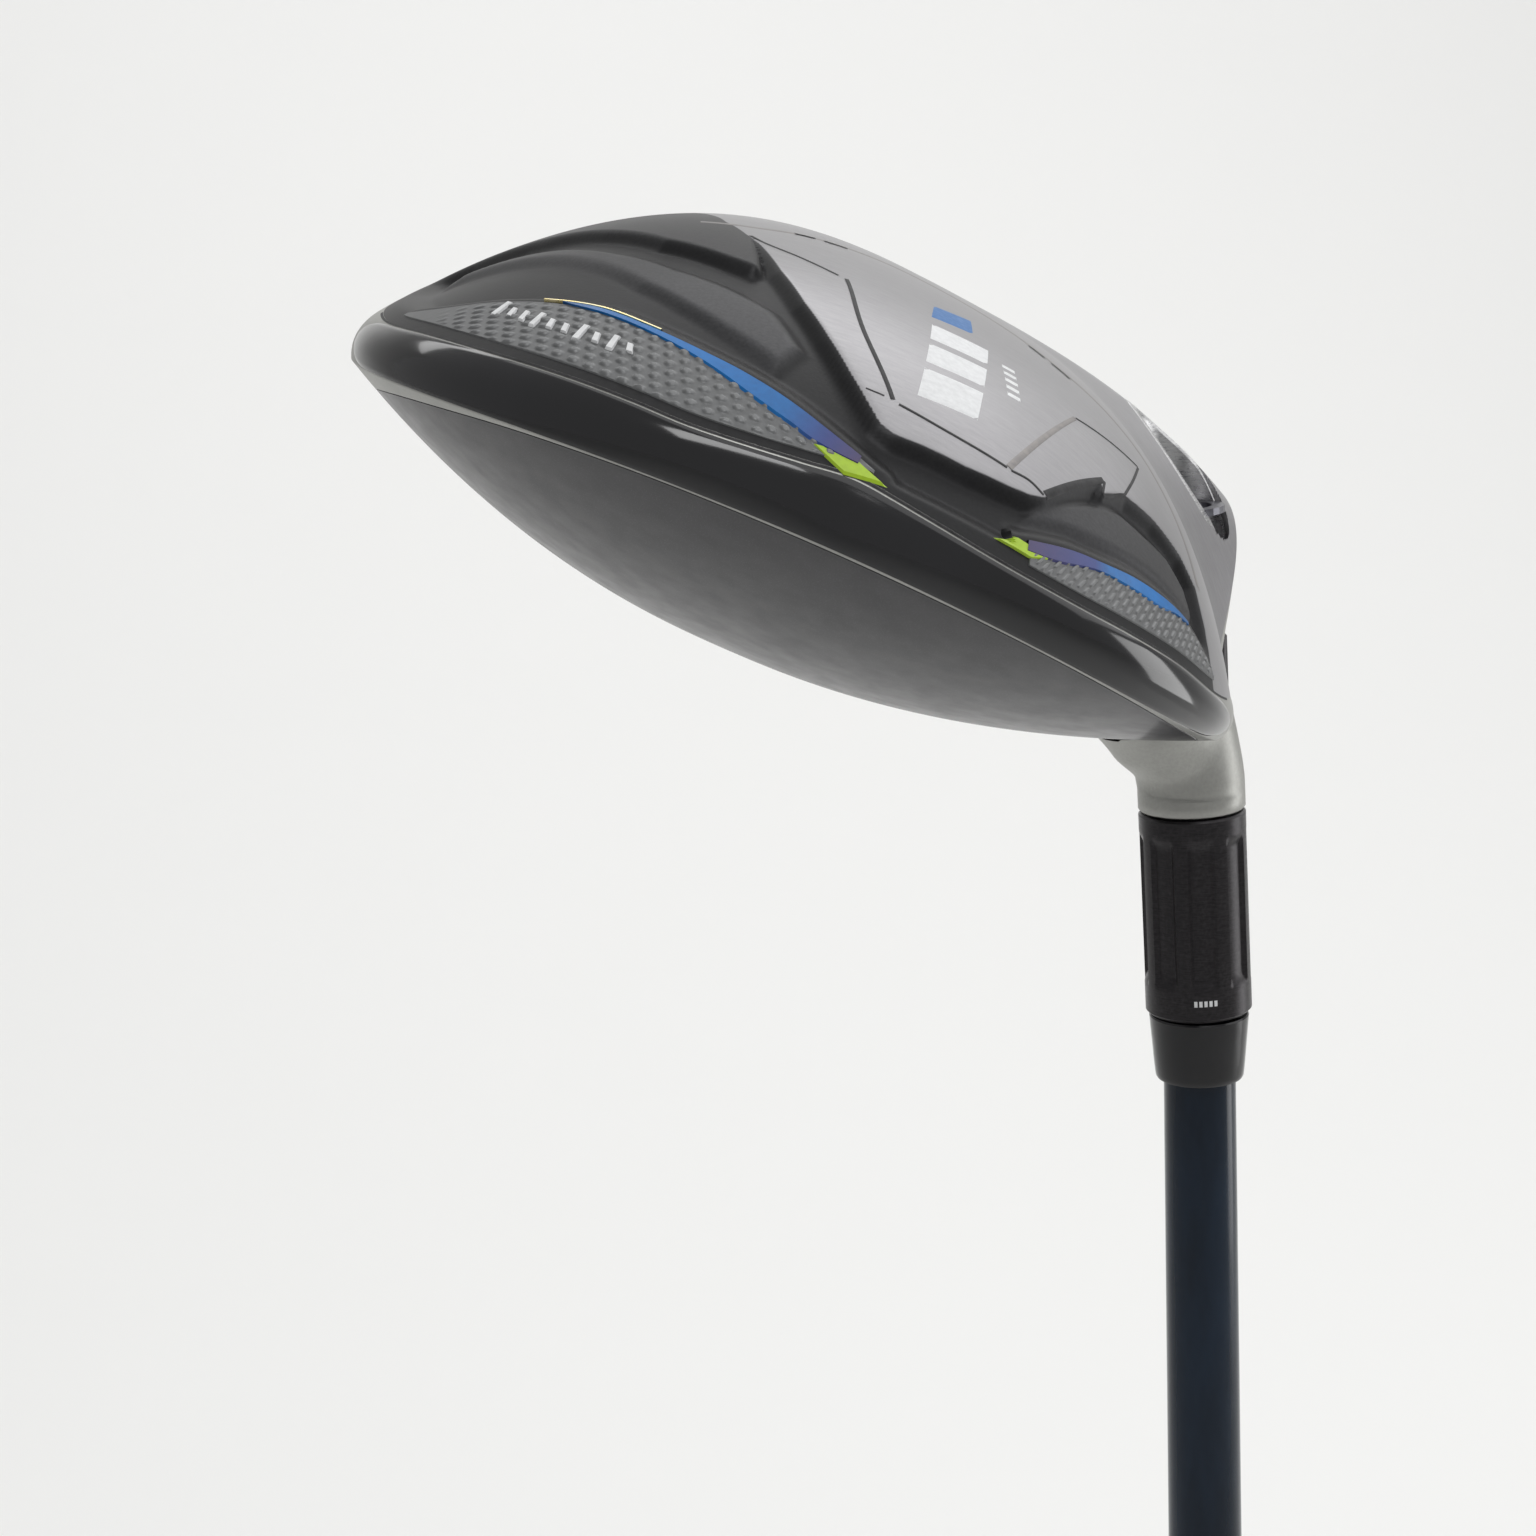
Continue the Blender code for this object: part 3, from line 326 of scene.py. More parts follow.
# Plan outlines on the sole
KEEL_SIDE = (
    (90, -2), (78, -11), (72, -18.5), (66.5, -25.7), (60.6, -32.6), (54.2, -37.2), (51.7, -38.6), (52.6, -33), (53.3, -28.0),
    (52.2, -31), (49.1, -38.7), (45.8, -45.0), (42.4, -50.2), (39.3, -54.5), (36.8, -57.5), (34.9, -59.6), (33.2, -60.2),
    (30.3, -59.9), (25.7, -59.7), (21.2, -58.8), (18.9, -58.0), (17.4, -57.0), (14.3, -51.8), (11.6, -47.6), (11.2, -48.9),
    (8.6, -45.2), (4.3, -42.6), (-0.3, -40.7), (-3.2, -40.6), (-5.5, -43.4), (-9, -49), (-40, -50), (-40, 40), (110, 40),
    (110, -2),
)
KEEL_TONE = (
    (56, -22), (53.6, -28.3), (52.2, -31), (49.1, -38.7), (45.8, -45.0), (42.4, -50.2), (39.3, -54.5), (36.8, -57.5),
    (34.9, -59.6), (33.2, -60.2), (30.3, -59.9), (25.7, -59.7), (21.2, -58.8), (18.9, -58.0), (17.4, -57.0), (14.3, -51.8),
    (11.6, -47.6), (11.2, -48.9), (8.6, -45.2), (4.3, -42.6), (-0.3, -40.7), (-3.2, -40.6), (-5.5, -43.4), (-9, -49),
    (-40, -50), (-40, 40), (62, 40), (60, 0),
)
TOE_FACET = (
    (78, -20), (71, -27), (64.7, -34.2), (58.6, -40.0), (53.0, -43.5), (48.0, -46.9), (44.0, -52.5), (45.7, -56.6),
    (52.4, -52.2), (56.9, -48.6), (61.5, -44.2), (65.9, -38.8), (70.3, -33.4), (80, -22),
)
HEEL_FACET = (
    (11.0, -49.5), (8.7, -47.5), (5.2, -45.8), (1.3, -43.3), (-2.3, -42.6), (-4.6, -44.4), (-4.2, -45.9), (-1.5, -47.9),
    (2.5, -50.4), (6.9, -53.6), (10.6, -55.9), (14.6, -58.3), (18.5, -61.0), (18.0, -58.0),
)
SEAM_WAVE = (
    (-180, 1.0), (-160, 1.0), (-148.2, 1.002), (-132.9, 0.993), (-121, 0.997), (-112.6, 1.003), (-98.8, 1.004), (-91.5, 0.996),
    (-86.3, 0.987), (-82.1, 0.997), (-76.8, 1.006), (-70.9, 1.010), (-64, 1.004), (-58.1, 1.0), (-42.6, 0.998), (-30, 1.0),
    (-18, 1.005), (-5, 1.0), (60, 1.0), (180, 1.0),
)
TOE_BADGE_TOP = (
    (-89.5, 0.975), (-88.0, 0.968), (-84.8, 0.948), (-75.9, 0.905), (-71.4, 0.893), (-65.3, 0.884), (-56.8, 0.875),
    (-47.6, 0.873), (-40.2, 0.890), (-33.0, 0.917), (-25.1, 0.958), (-18.1, 0.986),
)
HEEL_BADGE_TOP = (
    (-148.5, 0.978), (-141.3, 0.933), (-133.6, 0.911), (-124.5, 0.906), (-116.3, 0.917), (-110.9, 0.926), (-105.4, 0.946),
    (-102.0, 0.962),
)
CROWN_STRIP = (
    (-180, 5.0), (-165, 2.4), (-152, 1.0), (-140, 0.6), (-128, 0.25), (-118, 0.12), (-90, 0.12), (-62, 0.12), (-52, 0.4),
    (-40, 1.1), (-28, 1.9), (-14, 3.2), (5, 6.0), (35, 11.0), (90, 12.0), (150, 11.5), (180, 6.0),
)


class HeadForm:
    """The head's surfaces, in millimetres in its address frame."""

    def __init__(self, head, neck):
        self.head = {key: getattr(head, key) / MM for key in (
            "ground", "centre_x", "centre_y", "toe_reach", "heel_reach", "rear_reach", "crown_front", "sole_front",
            "crown_rise", "crown_rim", "seam", "seam_inset", "face_advance", "skirt_bulge", "flank_depth", "joint_gap")}
        self.neck = {key: getattr(neck, key) / MM for key in (
            "rim", "radius", "depth", "bend_start", "toe_blend", "heel_blend", "recess", "washer_seat")}
        self.bend = neck.bend
        self.loft = head.loft
        self.lie = head.lie
        self.columns = head.columns
        side = Vector((0, 1, 0))
        across = side.cross(HOSEL_AXIS).normalized()
        turn = Matrix((across, HOSEL_AXIS.cross(across), HOSEL_AXIS)).transposed().to_4x4()
        self.hosel_frame = Matrix.Translation(SLEEVE_END) @ turn
        tip = Matrix.Translation((0, 0, head.ground)) @ Matrix.Rotation(-(math.pi / 2 + head.lie), 4, "Y")
        self.address_frame = self.hosel_frame @ tip
        self.address_to_hosel = np.array(tip.to_3x3())
        self.angles = np.linspace(-math.pi, math.pi, self.columns, endpoint=False)
        dense = np.linspace(-math.pi, math.pi, 7201)
        x, y, z = self.sole_edge(dense)
        self.table_turn = np.unwrap(np.arctan2(y - SOLE_LOW[1], x - SOLE_LOW[0]))
        self.table_angle = dense
        self.table_reach = np.hypot(x - SOLE_LOW[0], y - SOLE_LOW[1])
        self.table_height = z

    # Plan outline and heights
    def outline(self, angle, front, inset=0.0):
        head = self.head
        c = np.cos(angle)
        s = np.sin(angle)
        across = np.where(c > 0, head["toe_reach"], head["heel_reach"]) - inset
        along = np.where(s > 0, front, head["rear_reach"]) - inset
        power = np.where((c < 0) & (s > 0), 3.2, 2.3)
        x = head["centre_x"] + across * np.sign(c) * np.abs(c) ** (2 / power)
        y = head["centre_y"] + along * np.sign(s) * np.abs(s) ** (2 / power)
        return x, y

    def shares(self, x, y):
        head = self.head
        return (x - head["centre_x"]) / head["rear_reach"], (y - head["centre_y"]) / head["rear_reach"]

    def seam_height(self, x, y):
        u, v = self.shares(x, y)
        return self.head["seam"] + 1.6 * u - 0.3 * v + 6.8 * u * u - 0.6 * v * v

    def crown_rim_height(self, x, y):
        u, v = self.shares(x, y)
        return self.head["crown_rim"] + 2.6 * u + 1.0 * v + 4.4 * u * u - 0.6 * v * v

    def face_y(self, x, z):
        bulge = (x - FACE_MIDDLE[0]) ** 2 / 540 + (z - FACE_MIDDLE[1]) ** 2 / 570
        return self.head["face_advance"] - z * math.tan(self.loft) - bulge

    def trimmed(self, point_at, angle):
        """The largest share up to 1 whose point lies behind the face."""
        low = np.full_like(angle, 0.1)
        high = np.ones_like(angle)
        x, y, z = point_at(high)
        free = y <= self.face_y(x, z)
        for _ in range(36):
            middle = (low + high) / 2
            x, y, z = point_at(middle)
            behind = y <= self.face_y(x, z)
            low = np.where(behind, middle, low)
            high = np.where(behind, high, middle)
        return np.where(free, 1.0, low)

    def sole_edge(self, angle):
        rim_x, rim_y = self.outline(angle, self.head["sole_front"], self.head["seam_inset"])
        u, _ = self.shares(rim_x, rim_y)
        front = smooth_step(-21, 8, rim_y)
        leading = 3.0 + np.where(u > 0, 18.0 * np.abs(u) ** 2.2, 4.5 * np.abs(u) ** 3)
        height = (1 - front) * self.seam_height(rim_x, rim_y) + front * leading

        def point_at(share):
            return (SOLE_LOW[0] + (rim_x - SOLE_LOW[0]) * share, SOLE_LOW[1] + (rim_y - SOLE_LOW[1]) * share, height)

        return point_at(self.trimmed(point_at, angle))

    def crown_at(self, angle, share):
        rim_x, rim_y = self.outline(angle, self.head["crown_front"])
        x = CROWN_PEAK[0] + (rim_x - CROWN_PEAK[0]) * share
        y = CROWN_PEAK[1] + (rim_y - CROWN_PEAK[1]) * share
        return np.stack([x, y, self.crown_rim_height(x, y) + self.head["crown_rise"] * (1 - share * share)], -1)

    def crown_edge(self, angle):
        def point_at(share):
            return tuple(np.moveaxis(self.crown_at(angle, share), -1, 0))

        return self.trimmed(point_at, angle)

    def crown_inset(self, angle, inset):
        edge = self.crown_edge(angle)
        rim = self.crown_at(angle, edge)[..., :2]
        reach = np.linalg.norm(rim - np.array(CROWN_PEAK), axis=-1)
        return edge * (1 - inset / reach)

    # The sole, by outline angle and share
    def locate(self, x, y):
        """The outline angle and share of plan points on the sole."""
        turn = np.arctan2(y - SOLE_LOW[1], x - SOLE_LOW[0])
        turn = (turn - self.table_turn[0]) % math.tau + self.table_turn[0]
        angle = np.interp(turn, self.table_turn, self.table_angle)
        reach = np.interp(turn, self.table_turn, self.table_reach)
        return angle, np.hypot(x - SOLE_LOW[0], y - SOLE_LOW[1]) / reach

    def plan_of(self, angle, share):
        x, y, _ = self.sole_edge(angle)
        return SOLE_LOW[0] + (x - SOLE_LOW[0]) * share, SOLE_LOW[1] + (y - SOLE_LOW[1]) * share

    def sole_height(self, x, y):
        turn = np.arctan2(y - SOLE_LOW[1], x - SOLE_LOW[0])
        turn = (turn - self.table_turn[0]) % math.tau + self.table_turn[0]
        reach = np.interp(turn, self.table_turn, self.table_reach)
        rise = np.interp(turn, self.table_turn, self.table_height)
        return rise * (np.hypot(x - SOLE_LOW[0], y - SOLE_LOW[1]) / reach) ** SOLE_POWER

    def relief(self, x, y):
        """How far the sole's design stands out of its plain form."""
        angle, share = self.locate(x, y)
        degrees = np.degrees(angle)
        keel = signed_distance(KEEL_SIDE, x, y)
        toe = signed_distance(TOE_FACET, x, y)
        heel = signed_distance(HEEL_FACET, x, y)
        top = np.where(degrees > -96, curve_through(TOE_BADGE_TOP, degrees), curve_through(HEEL_BADGE_TOP, degrees))
        top = np.where((degrees > -102) & (degrees < -89), 0.985, top)
        top = np.where((degrees > -18) | (degrees < -149), 0.99, top)
        flank = smooth_step(-0.1, 1.5, keel) * (1 - smooth_step(top - 0.045, top - 0.004, share))
        facet = (1 - smooth_step(-1.3, 0.7, toe)) + (1 - smooth_step(-1.1, 0.6, heel))
        return -self.head["flank_depth"] * flank * (1 - 0.55 * facet)

    def on_sole(self, x, y, lift=0.0):
        """Points on the finished sole at plan points, raised by lift along its normal."""
        step = 0.05
        height = self.sole_height(x, y)
        slope_x = (self.sole_height(x + step, y) - self.sole_height(x - step, y)) / (2 * step)
        slope_y = (self.sole_height(x, y + step) - self.sole_height(x, y - step)) / (2 * step)
        normal = np.stack([slope_x, slope_y, -np.ones_like(slope_x)], -1)
        normal /= np.linalg.norm(normal, axis=-1, keepdims=True)
        out = self.relief(x, y) + lift
        return np.stack([x, y, height], -1) + normal * out[..., None]

    def on_sole_polar(self, degrees, share, lift=0.0):
        x, y = self.plan_of(np.radians(degrees), share)
        return self.on_sole(x, y, lift)

    # The wall between sole and crown
    def wall_at(self, angle, share, low, high, high_share):
        point = low + (high - low) * share[..., None]
        outward = np.stack([np.cos(angle), np.sin(angle), np.zeros_like(angle)], -1)
        bulged = point + outward * (self.head["skirt_bulge"] * 4 * share * (1 - share))[..., None]
        on_face = np.stack([point[..., 0], self.face_y(point[..., 0], point[..., 2]), point[..., 2]], -1)
        turn = smooth_step(0.0, 0.06, 1 - high_share)[..., None]
        return bulged + (on_face - bulged) * turn

    def wall_rows(self, angle, shares):
        """Wall points for each share and angle, from the finished sole edge to the crown's edge."""
        low = self.seam_points(angle)
        high_share = self.crown_edge(angle)
        high = self.crown_at(angle, high_share)
        return np.stack([self.wall_at(angle, np.full_like(angle, share), low, high, high_share) for share in shares])

    def seam_points(self, angle):
        wave = curve_through(SEAM_WAVE, np.degrees(angle))
        x, y = self.plan_of(angle, wave)
        return np.stack([x, y, self.sole_height(x, y)], -1)

    # The hosel's tube
    def tube_field(self, points):
        """Distance to the hosel's leaning tube, and the reach of the fillet there."""
        neck = self.neck
        local = (points - np.array([0.0, 0.0, 0.0])) @ self.address_to_hosel.T
        along = local[..., 2] + self.head["ground"] - neck["rim"]
        toe = -local[..., 0]
        lean = self.bend * np.maximum(along - neck["bend_start"], 0.0) ** 2 / (
            np.maximum(along - neck["bend_start"], 0.0) + 4.0)
        radial = np.hypot(toe - lean, local[..., 1])
        core = neck["radius"] - 4.0
        distance = np.hypot(np.maximum(radial - core, 0.0), np.maximum(along - neck["depth"], 0.0)) - 4.0
        side = 0.5 + 0.5 * (toe - lean) / np.maximum(radial, 1e-6)
        side = side * (1 - smooth_step(10, 22, along))
        blend = neck["heel_blend"] + (neck["toe_blend"] - neck["heel_blend"]) * side
        blend = np.maximum(blend * smooth_step(-1, 7, along), 0.5)
        return distance, blend

    @staticmethod
    def joined(first, second, blend):
        overlap = np.maximum(blend - np.abs(first - second), 0.0) / blend
        return np.minimum(first, second) - overlap * overlap * blend / 4

    def pushed(self, points, normals):
        """Points of the head moved out to the fillet between head and tube."""
        distance, blend = self.tube_field(points)
        near = (distance < blend) & (distance > 1.0)
        low = np.zeros(points.shape[:-1])
        high = np.full(points.shape[:-1], 4.0)
        for _ in range(16):
            middle = (low + high) / 2
            field, _ = self.tube_field(points + normals * middle[..., None])
            inside = self.joined(middle, field, blend) < 0
            low = np.where(inside, middle, low)
            high = np.where(inside, high, middle)
        covered = 1 - smooth_step(NECK_OVERLAP - 0.9, NECK_OVERLAP - 0.3, distance)
        return points + normals * (np.where(near, low, 0.0) - 0.2 * covered)[..., None]


def head_form():
    scene = bpy.context.scene
    return HeadForm(scene.club_head, scene.club_neck)


# ---------------------------------------------------------------- pieces of the head

def casting_grids(form):
    """Rows of the casting from the middle of the sole to the crown's joint, and their design values."""
    angle = form.angles
    wave = curve_through(SEAM_WAVE, np.degrees(angle))
    shares = np.concatenate([np.linspace(0.004, 0.25, 26), np.linspace(0.255, 0.93, 150), np.linspace(0.933, 0.992, 24)])
    edge_x, edge_y, _ = form.sole_edge(angle)
    x = SOLE_LOW[0] + (edge_x - SOLE_LOW[0]) * shares[:, None] * wave
    y = SOLE_LOW[1] + (edge_y - SOLE_LOW[1]) * shares[:, None] * wave
    sole = form.on_sole(x, y)
    lip = np.array([form.seam_points(angle)])
    sole = np.concatenate([sole, lip])
    keel = signed_distance(KEEL_TONE, sole[..., 0], sole[..., 1])
    front = signed_distance(KEEL_SIDE, sole[..., 0], sole[..., 1])
    toe = signed_distance(TOE_FACET, sole[..., 0], sole[..., 1])
    heel = signed_distance(HEEL_FACET, sole[..., 0], sole[..., 1])
    wall = form.wall_rows(angle, np.linspace(0.0, 1.0, 33)[1:])
    # The last value masks the flanks' facets, where the sole's finish paints light.
    return sole, wall, keel, np.minimum(np.minimum(toe, heel), np.maximum(front - 0.4, -0.45))


def build_casting(form, finishes):
    angle = form.angles
    sole, wall, keel, facet = casting_grids(form)
    inset = curve_through(CROWN_STRIP, np.degrees(angle))
    strip = np.stack([form.crown_at(angle, form.crown_inset(angle, inset * k)) for k in np.linspace(0, 1, 15)[1:]])
    down = np.array([0.0, 0.0, -1.0])
    joint = strip[-1]
    inner = form.crown_at(angle, form.crown_inset(angle, inset + 0.1))
    ledge = [joint + down * 0.45, inner + down * 0.9, form.crown_at(angle, form.crown_inset(angle, inset + 4.0)) + down * 1.3]
    rows = np.concatenate([sole, wall, strip, np.array(ledge)])
    solid = len(sole) + len(wall) + len(strip)
    body = rows[:solid]
    normals = grid_normals(body)
    rows[:solid] = form.pushed(body, normals)
    far = np.full((len(rows) - len(sole), rows.shape[1]), -9.0)
    patches = PatchSet()
    recess = sunk_for_recess(form, rows[:len(sole)])
    patches.add(recess, wrap=True, flip=False, keel_side=keel, facet=facet, zone=1.0)
    rest = np.concatenate([rows[len(sole) - 1:len(sole)], rows[len(sole):]])
    patches.add(rest, wrap=True, zone=0.0, keel_side=np.concatenate([far[:1], far]), facet=np.concatenate([far[:1], far]))
    cap = np.stack([rows[0], np.broadcast_to(rows[0].mean(0), rows[0].shape)])
    patches.add(cap, wrap=True, flip=True, keel_side=-9.0, facet=9.0, zone=1.0)
    mesh = patches.mesh("head_casting", form.address_frame, math.radians(50))
    return add_piece("head_casting", mesh, sole_finish(finishes), "head", ("head_body", "keel_plate"))


def axis_distance(form, points):
    local = points @ form.address_to_hosel.T
    return np.hypot(local[..., 0], local[..., 1])


def sunk_for_recess(form, rows):
    """The sole's rows with the part over the screw's recess drawn up out of the way."""
    reach = axis_distance(form, rows)
    sink = (1 - smooth_step(form.neck["recess"] + 0.2, form.neck["recess"] + 0.7, reach)) * 9.0
    toward = form.address_to_hosel.T @ np.array([0.0, 0.0, -1.0])
    return rows + sink[..., None] * toward


def build_screw_recess(form, finishes):
    """The machined rim and bore in the sole that take the screw."""
    angle = np.linspace(0.0, math.tau, 96, endpoint=False)
    toward = form.address_to_hosel.T @ np.array([0.0, 0.0, 1.0])
    across = form.address_to_hosel.T @ np.array([1.0, 0.0, 0.0])
    side = form.address_to_hosel.T @ np.array([0.0, 1.0, 0.0])
    rows = []
    for radius, lift in ((5.9, -0.08), (5.75, 0.08), (5.1, 0.08), (4.85, -0.1), (4.7, -0.4)):
        base = radius * (np.cos(angle)[:, None] * across + np.sin(angle)[:, None] * side)
        low = np.full(angle.shape, -30.0)
        high = np.full(angle.shape, 12.0)
        for _ in range(40):
            middle = (low + high) / 2
            point = base + middle[:, None] * toward
            above = point[:, 2] > form.sole_height(point[:, 0], point[:, 1])
            low = np.where(above, middle, low)
            high = np.where(above, high, middle)
        point = base + low[:, None] * toward
        _, share = form.locate(point[:, 0], point[:, 1])
        hidden = 2.5 * smooth_step(0.86, 0.97, share)
        rows.append(base + (low + lift - hidden)[:, None] * toward)
    seat = form.neck["washer_seat"] - form.head["ground"]
    last = axis_along(form, rows[-1])
    base = rows[-1] - last[:, None] * toward
    rows += [base + (seat + (last - seat) * (1 - k))[:, None] * toward for k in (0.35, 0.7, 1.0)]
    floor = base * (2.75 / form.neck["recess"])
    rows.append(floor + seat * toward)
    rows.append(floor + (seat - 1.7) * toward)
    patches = PatchSet()
    patches.add(np.array(rows), wrap=True)
    mesh = patches.mesh("screw_recess", form.address_frame, math.radians(30))
    return add_piece("screw_recess", mesh, machined_finish(), "head")


def axis_along(form, points):
    return (points @ form.address_to_hosel.T)[..., 2]


def build_neck(form, finishes):
    """The hosel's tube and its fillet, down to where it lies on the casting."""
    angle = form.angles
    low = form.seam_points(angle)
    shares = np.linspace(0.02, 1.0, 60)
    x = SOLE_LOW[0] + (low[:, 0] - SOLE_LOW[0]) * shares[:, None]
    y = SOLE_LOW[1] + (low[:, 1] - SOLE_LOW[1]) * shares[:, None]
    sole = np.stack([x, y, form.sole_height(x, y)], -1)
    wall = form.wall_rows(angle, np.linspace(0, 1, 20)[1:])
    edge = form.crown_edge(angle)
    crown = np.stack([form.crown_at(angle, edge * k) for k in np.linspace(1, 0.01, 60)[1:]])
    solid = np.concatenate([sole, wall, crown])
    faces = grid_faces(len(solid), len(angle), True)
    tree = BVHTree.FromPolygons([tuple(p) for p in solid.reshape(-1, 3)], [tuple(f) for f in faces])

    def head_field(points):
        out = np.empty(len(points))
        for i, point in enumerate(points):
            spot, normal, _, distance = tree.find_nearest(Vector(point))
            out[i] = distance if (Vector(point) - spot).dot(normal) > 0 else -distance
        return out

    neck = form.neck
    count = 96
    turn = np.linspace(0.0, math.tau, count, endpoint=False)
    middle_depth = 21.0
    run = middle_depth - neck["bend_start"]
    lean = form.bend * run * run / (run + 4.0)
    to_address = form.address_to_hosel.T
    offset = neck["rim"] - form.head["ground"]
    middle = to_address @ np.array([-lean, 0.0, offset + middle_depth])
    rows = []
    for depth, shrink in ((1.2, 1.5), (0.0, 1.3), (0.0, 0.25), (0.25, 0.0), (1.2, 0.0), (2.0, 0.0)):
        ring = np.stack([np.cos(turn) * (neck["radius"] - shrink), np.sin(turn) * (neck["radius"] - shrink),
                         np.full(count, offset + depth)], -1)
        rows.append(ring @ to_address.T)
    reach = lean * np.cos(turn) + np.sqrt(neck["radius"] ** 2 - (lean * np.sin(turn)) ** 2)
    start = np.arctan2(reach, middle_depth - 2.6)
    for k in np.linspace(0, 1, 64):
        tilt = start + (math.radians(118) - start) * k
        ray = np.stack([np.cos(turn) * np.sin(tilt), np.sin(turn) * np.sin(tilt), -np.cos(tilt)], -1)
        ray = ray @ to_address.T
        near = np.zeros(count)
        far = np.full(count, 34.0)
        for _ in range(13):
            half = (near + far) / 2
            points = middle + ray * half[:, None]
            distance, blend = form.tube_field(points)
            inside = form.joined(head_field(points), distance, blend) < 0
            near = np.where(inside, half, near)
            far = np.where(inside, far, half)
        rows.append(middle + ray * near[:, None])
    grid = np.array(rows)
    distance, blend = form.tube_field(grid)
    keep = len(rows) - 1
    for column in range(count):
        beyond = np.nonzero(distance[14:, column] > NECK_OVERLAP)[0]
        last = beyond[0] + 14 if len(beyond) else keep
        grid[last:, column] = grid[last, column]
    patches = PatchSet()
    patches.add(grid, wrap=True)
    mesh = patches.mesh("hosel_neck", form.address_frame, math.radians(45))
    return add_piece("hosel_neck", mesh, cast_finish(finishes), "head")


def build_crown(form, finishes):
    angle = form.angles
    inset = curve_through(CROWN_STRIP, np.degrees(angle)) + form.head["joint_gap"]
    edge = form.crown_inset(angle, inset)
    shares = np.concatenate([np.linspace(0.004, 0.9, 90), np.linspace(0.905, 1.0, 22)])
    top = np.stack([form.crown_at(angle, edge * k) for k in shares])
    top = form.pushed(top, -grid_normals(top))
    rim = top[-1]
    down = np.array([0.0, 0.0, -1.0])
    top[-2:-1] += down * 0.01
    under = np.stack([rim + down * 0.1, rim + down * 0.5])
    patches = PatchSet()
    patches.add(np.concatenate([top, under]), wrap=True, flip=True)
    peak = np.stack([np.broadcast_to(top[0].mean(0), top[0].shape), top[0]])
    patches.add(peak, wrap=True, flip=True)
    mesh = patches.mesh("crown_shell_skin", form.address_frame)
    return add_piece("crown_shell_skin", mesh, crown_finish(finishes), "head", ("crown_shell",))


SKIRT_ENDS = (-11.0, -157.0)


def build_skirt(form, finishes):
    """The gloss band round the rear, with a rounded end at the heel."""
    degrees = np.linspace(SKIRT_ENDS[0], SKIRT_ENDS[1], 520)
    angle = np.radians(degrees)
    rows = []
    toe = np.clip((SKIRT_ENDS[0] - degrees) / 9.0, 0, 1)
    heel = np.clip((degrees - SKIRT_ENDS[1]) / 11.0, 0, 1)
    low_share = 0.05 + 0.42 * (1 - np.sqrt(1 - (1 - toe) ** 2)) + 0.42 * (1 - np.sqrt(1 - (1 - heel) ** 2))
    high_share = 0.993 - 0.46 * (1 - np.sqrt(1 - (1 - toe) ** 2)) - 0.47 * (1 - np.sqrt(1 - (1 - heel) ** 2))
    low = form.seam_points(angle)
    top_share = form.crown_edge(angle)
    high = form.crown_at(angle, top_share)
    for k in np.linspace(0, 1, 36):
        share = low_share + (high_share - low_share) * k
        rows.append(form.wall_at(angle, share, low, high, top_share))
    grid = np.array(rows)
    normal = -grid_normals(grid, wrap=False)
    across = np.linspace(0, 1, 36)[:, None]
    lift = 0.1 * np.minimum(1, np.minimum(across, 1 - across) * 14) - 0.02
    grid = form.pushed(grid, normal) + normal * lift[..., None]
    patches = PatchSet()
    patches.add(grid, facing=REARWARD)
    mesh = patches.mesh("skirt_band", form.address_frame)
    return add_piece("skirt_band", mesh, skirt_finish(finishes), "head")


def ribbon(form, patches, points, width, lift=0.05, rise=0.02, step=0.35, smooth=True):
    """A narrow strip along plan points on the sole. width is one number or one for each end."""
    line = smooth_line(points, step) if smooth else smooth_line_straight(points, step)
    along = np.gradient(line, axis=0)
    along /= np.linalg.norm(along, axis=1, keepdims=True)
    side = np.stack([along[:, 1], -along[:, 0]], -1)
    widths = np.interp(np.linspace(0, 1, len(line)), np.linspace(0, 1, len(np.atleast_1d(width))), np.atleast_1d(width))
    across = np.array([-0.5, -0.4, 0.0, 0.4, 0.5])
    lifts = np.array([0.0, rise, rise, rise, 0.0]) + lift
    plan = line[None] + across[:, None, None] * widths[None, :, None] * side[None]
    grid = form.on_sole(plan[..., 0], plan[..., 1], np.broadcast_to(lifts[:, None], plan.shape[:2]))
    patches.add(grid, facing=DOWN, run=np.broadcast_to(np.linspace(0, 1, len(line)), plan.shape[:2]))


def smooth_line_straight(points, step):
    """Points along straight runs."""
    out = []
    for start, end in zip(np.array(points[:-1], float), np.array(points[1:], float)):
        count = max(int(np.linalg.norm(end - start) / step), 1)
        out += [start + (end - start) * k / count for k in range(count)]
    return np.array(out + [np.array(points[-1], float)])


def plate(form, patches, corners, lift, rows=14, columns=14, polar=False):
    """A thin four-cornered plate on the sole, with its edges let down."""
    a, b, c, d = [np.array(corner, float) for corner in corners]
    u = np.linspace(0, 1, columns)[None, :, None]
    v = np.linspace(0, 1, rows)[:, None, None]
    plan = (a * (1 - u) + b * u) * (1 - v) + (d * (1 - u) + c * u) * v
    edge = np.minimum(np.minimum(u, 1 - u), np.minimum(v, 1 - v))[..., 0]
    lifts = np.where(edge <= 0, 0.0, lift)
    if polar:
        grid = form.on_sole_polar(plan[..., 0], plan[..., 1], lifts)
    else:
        grid = form.on_sole(plan[..., 0], plan[..., 1], lifts)
    patches.add(grid, facing=DOWN, run=np.broadcast_to(u[..., 0], grid.shape[:2]))


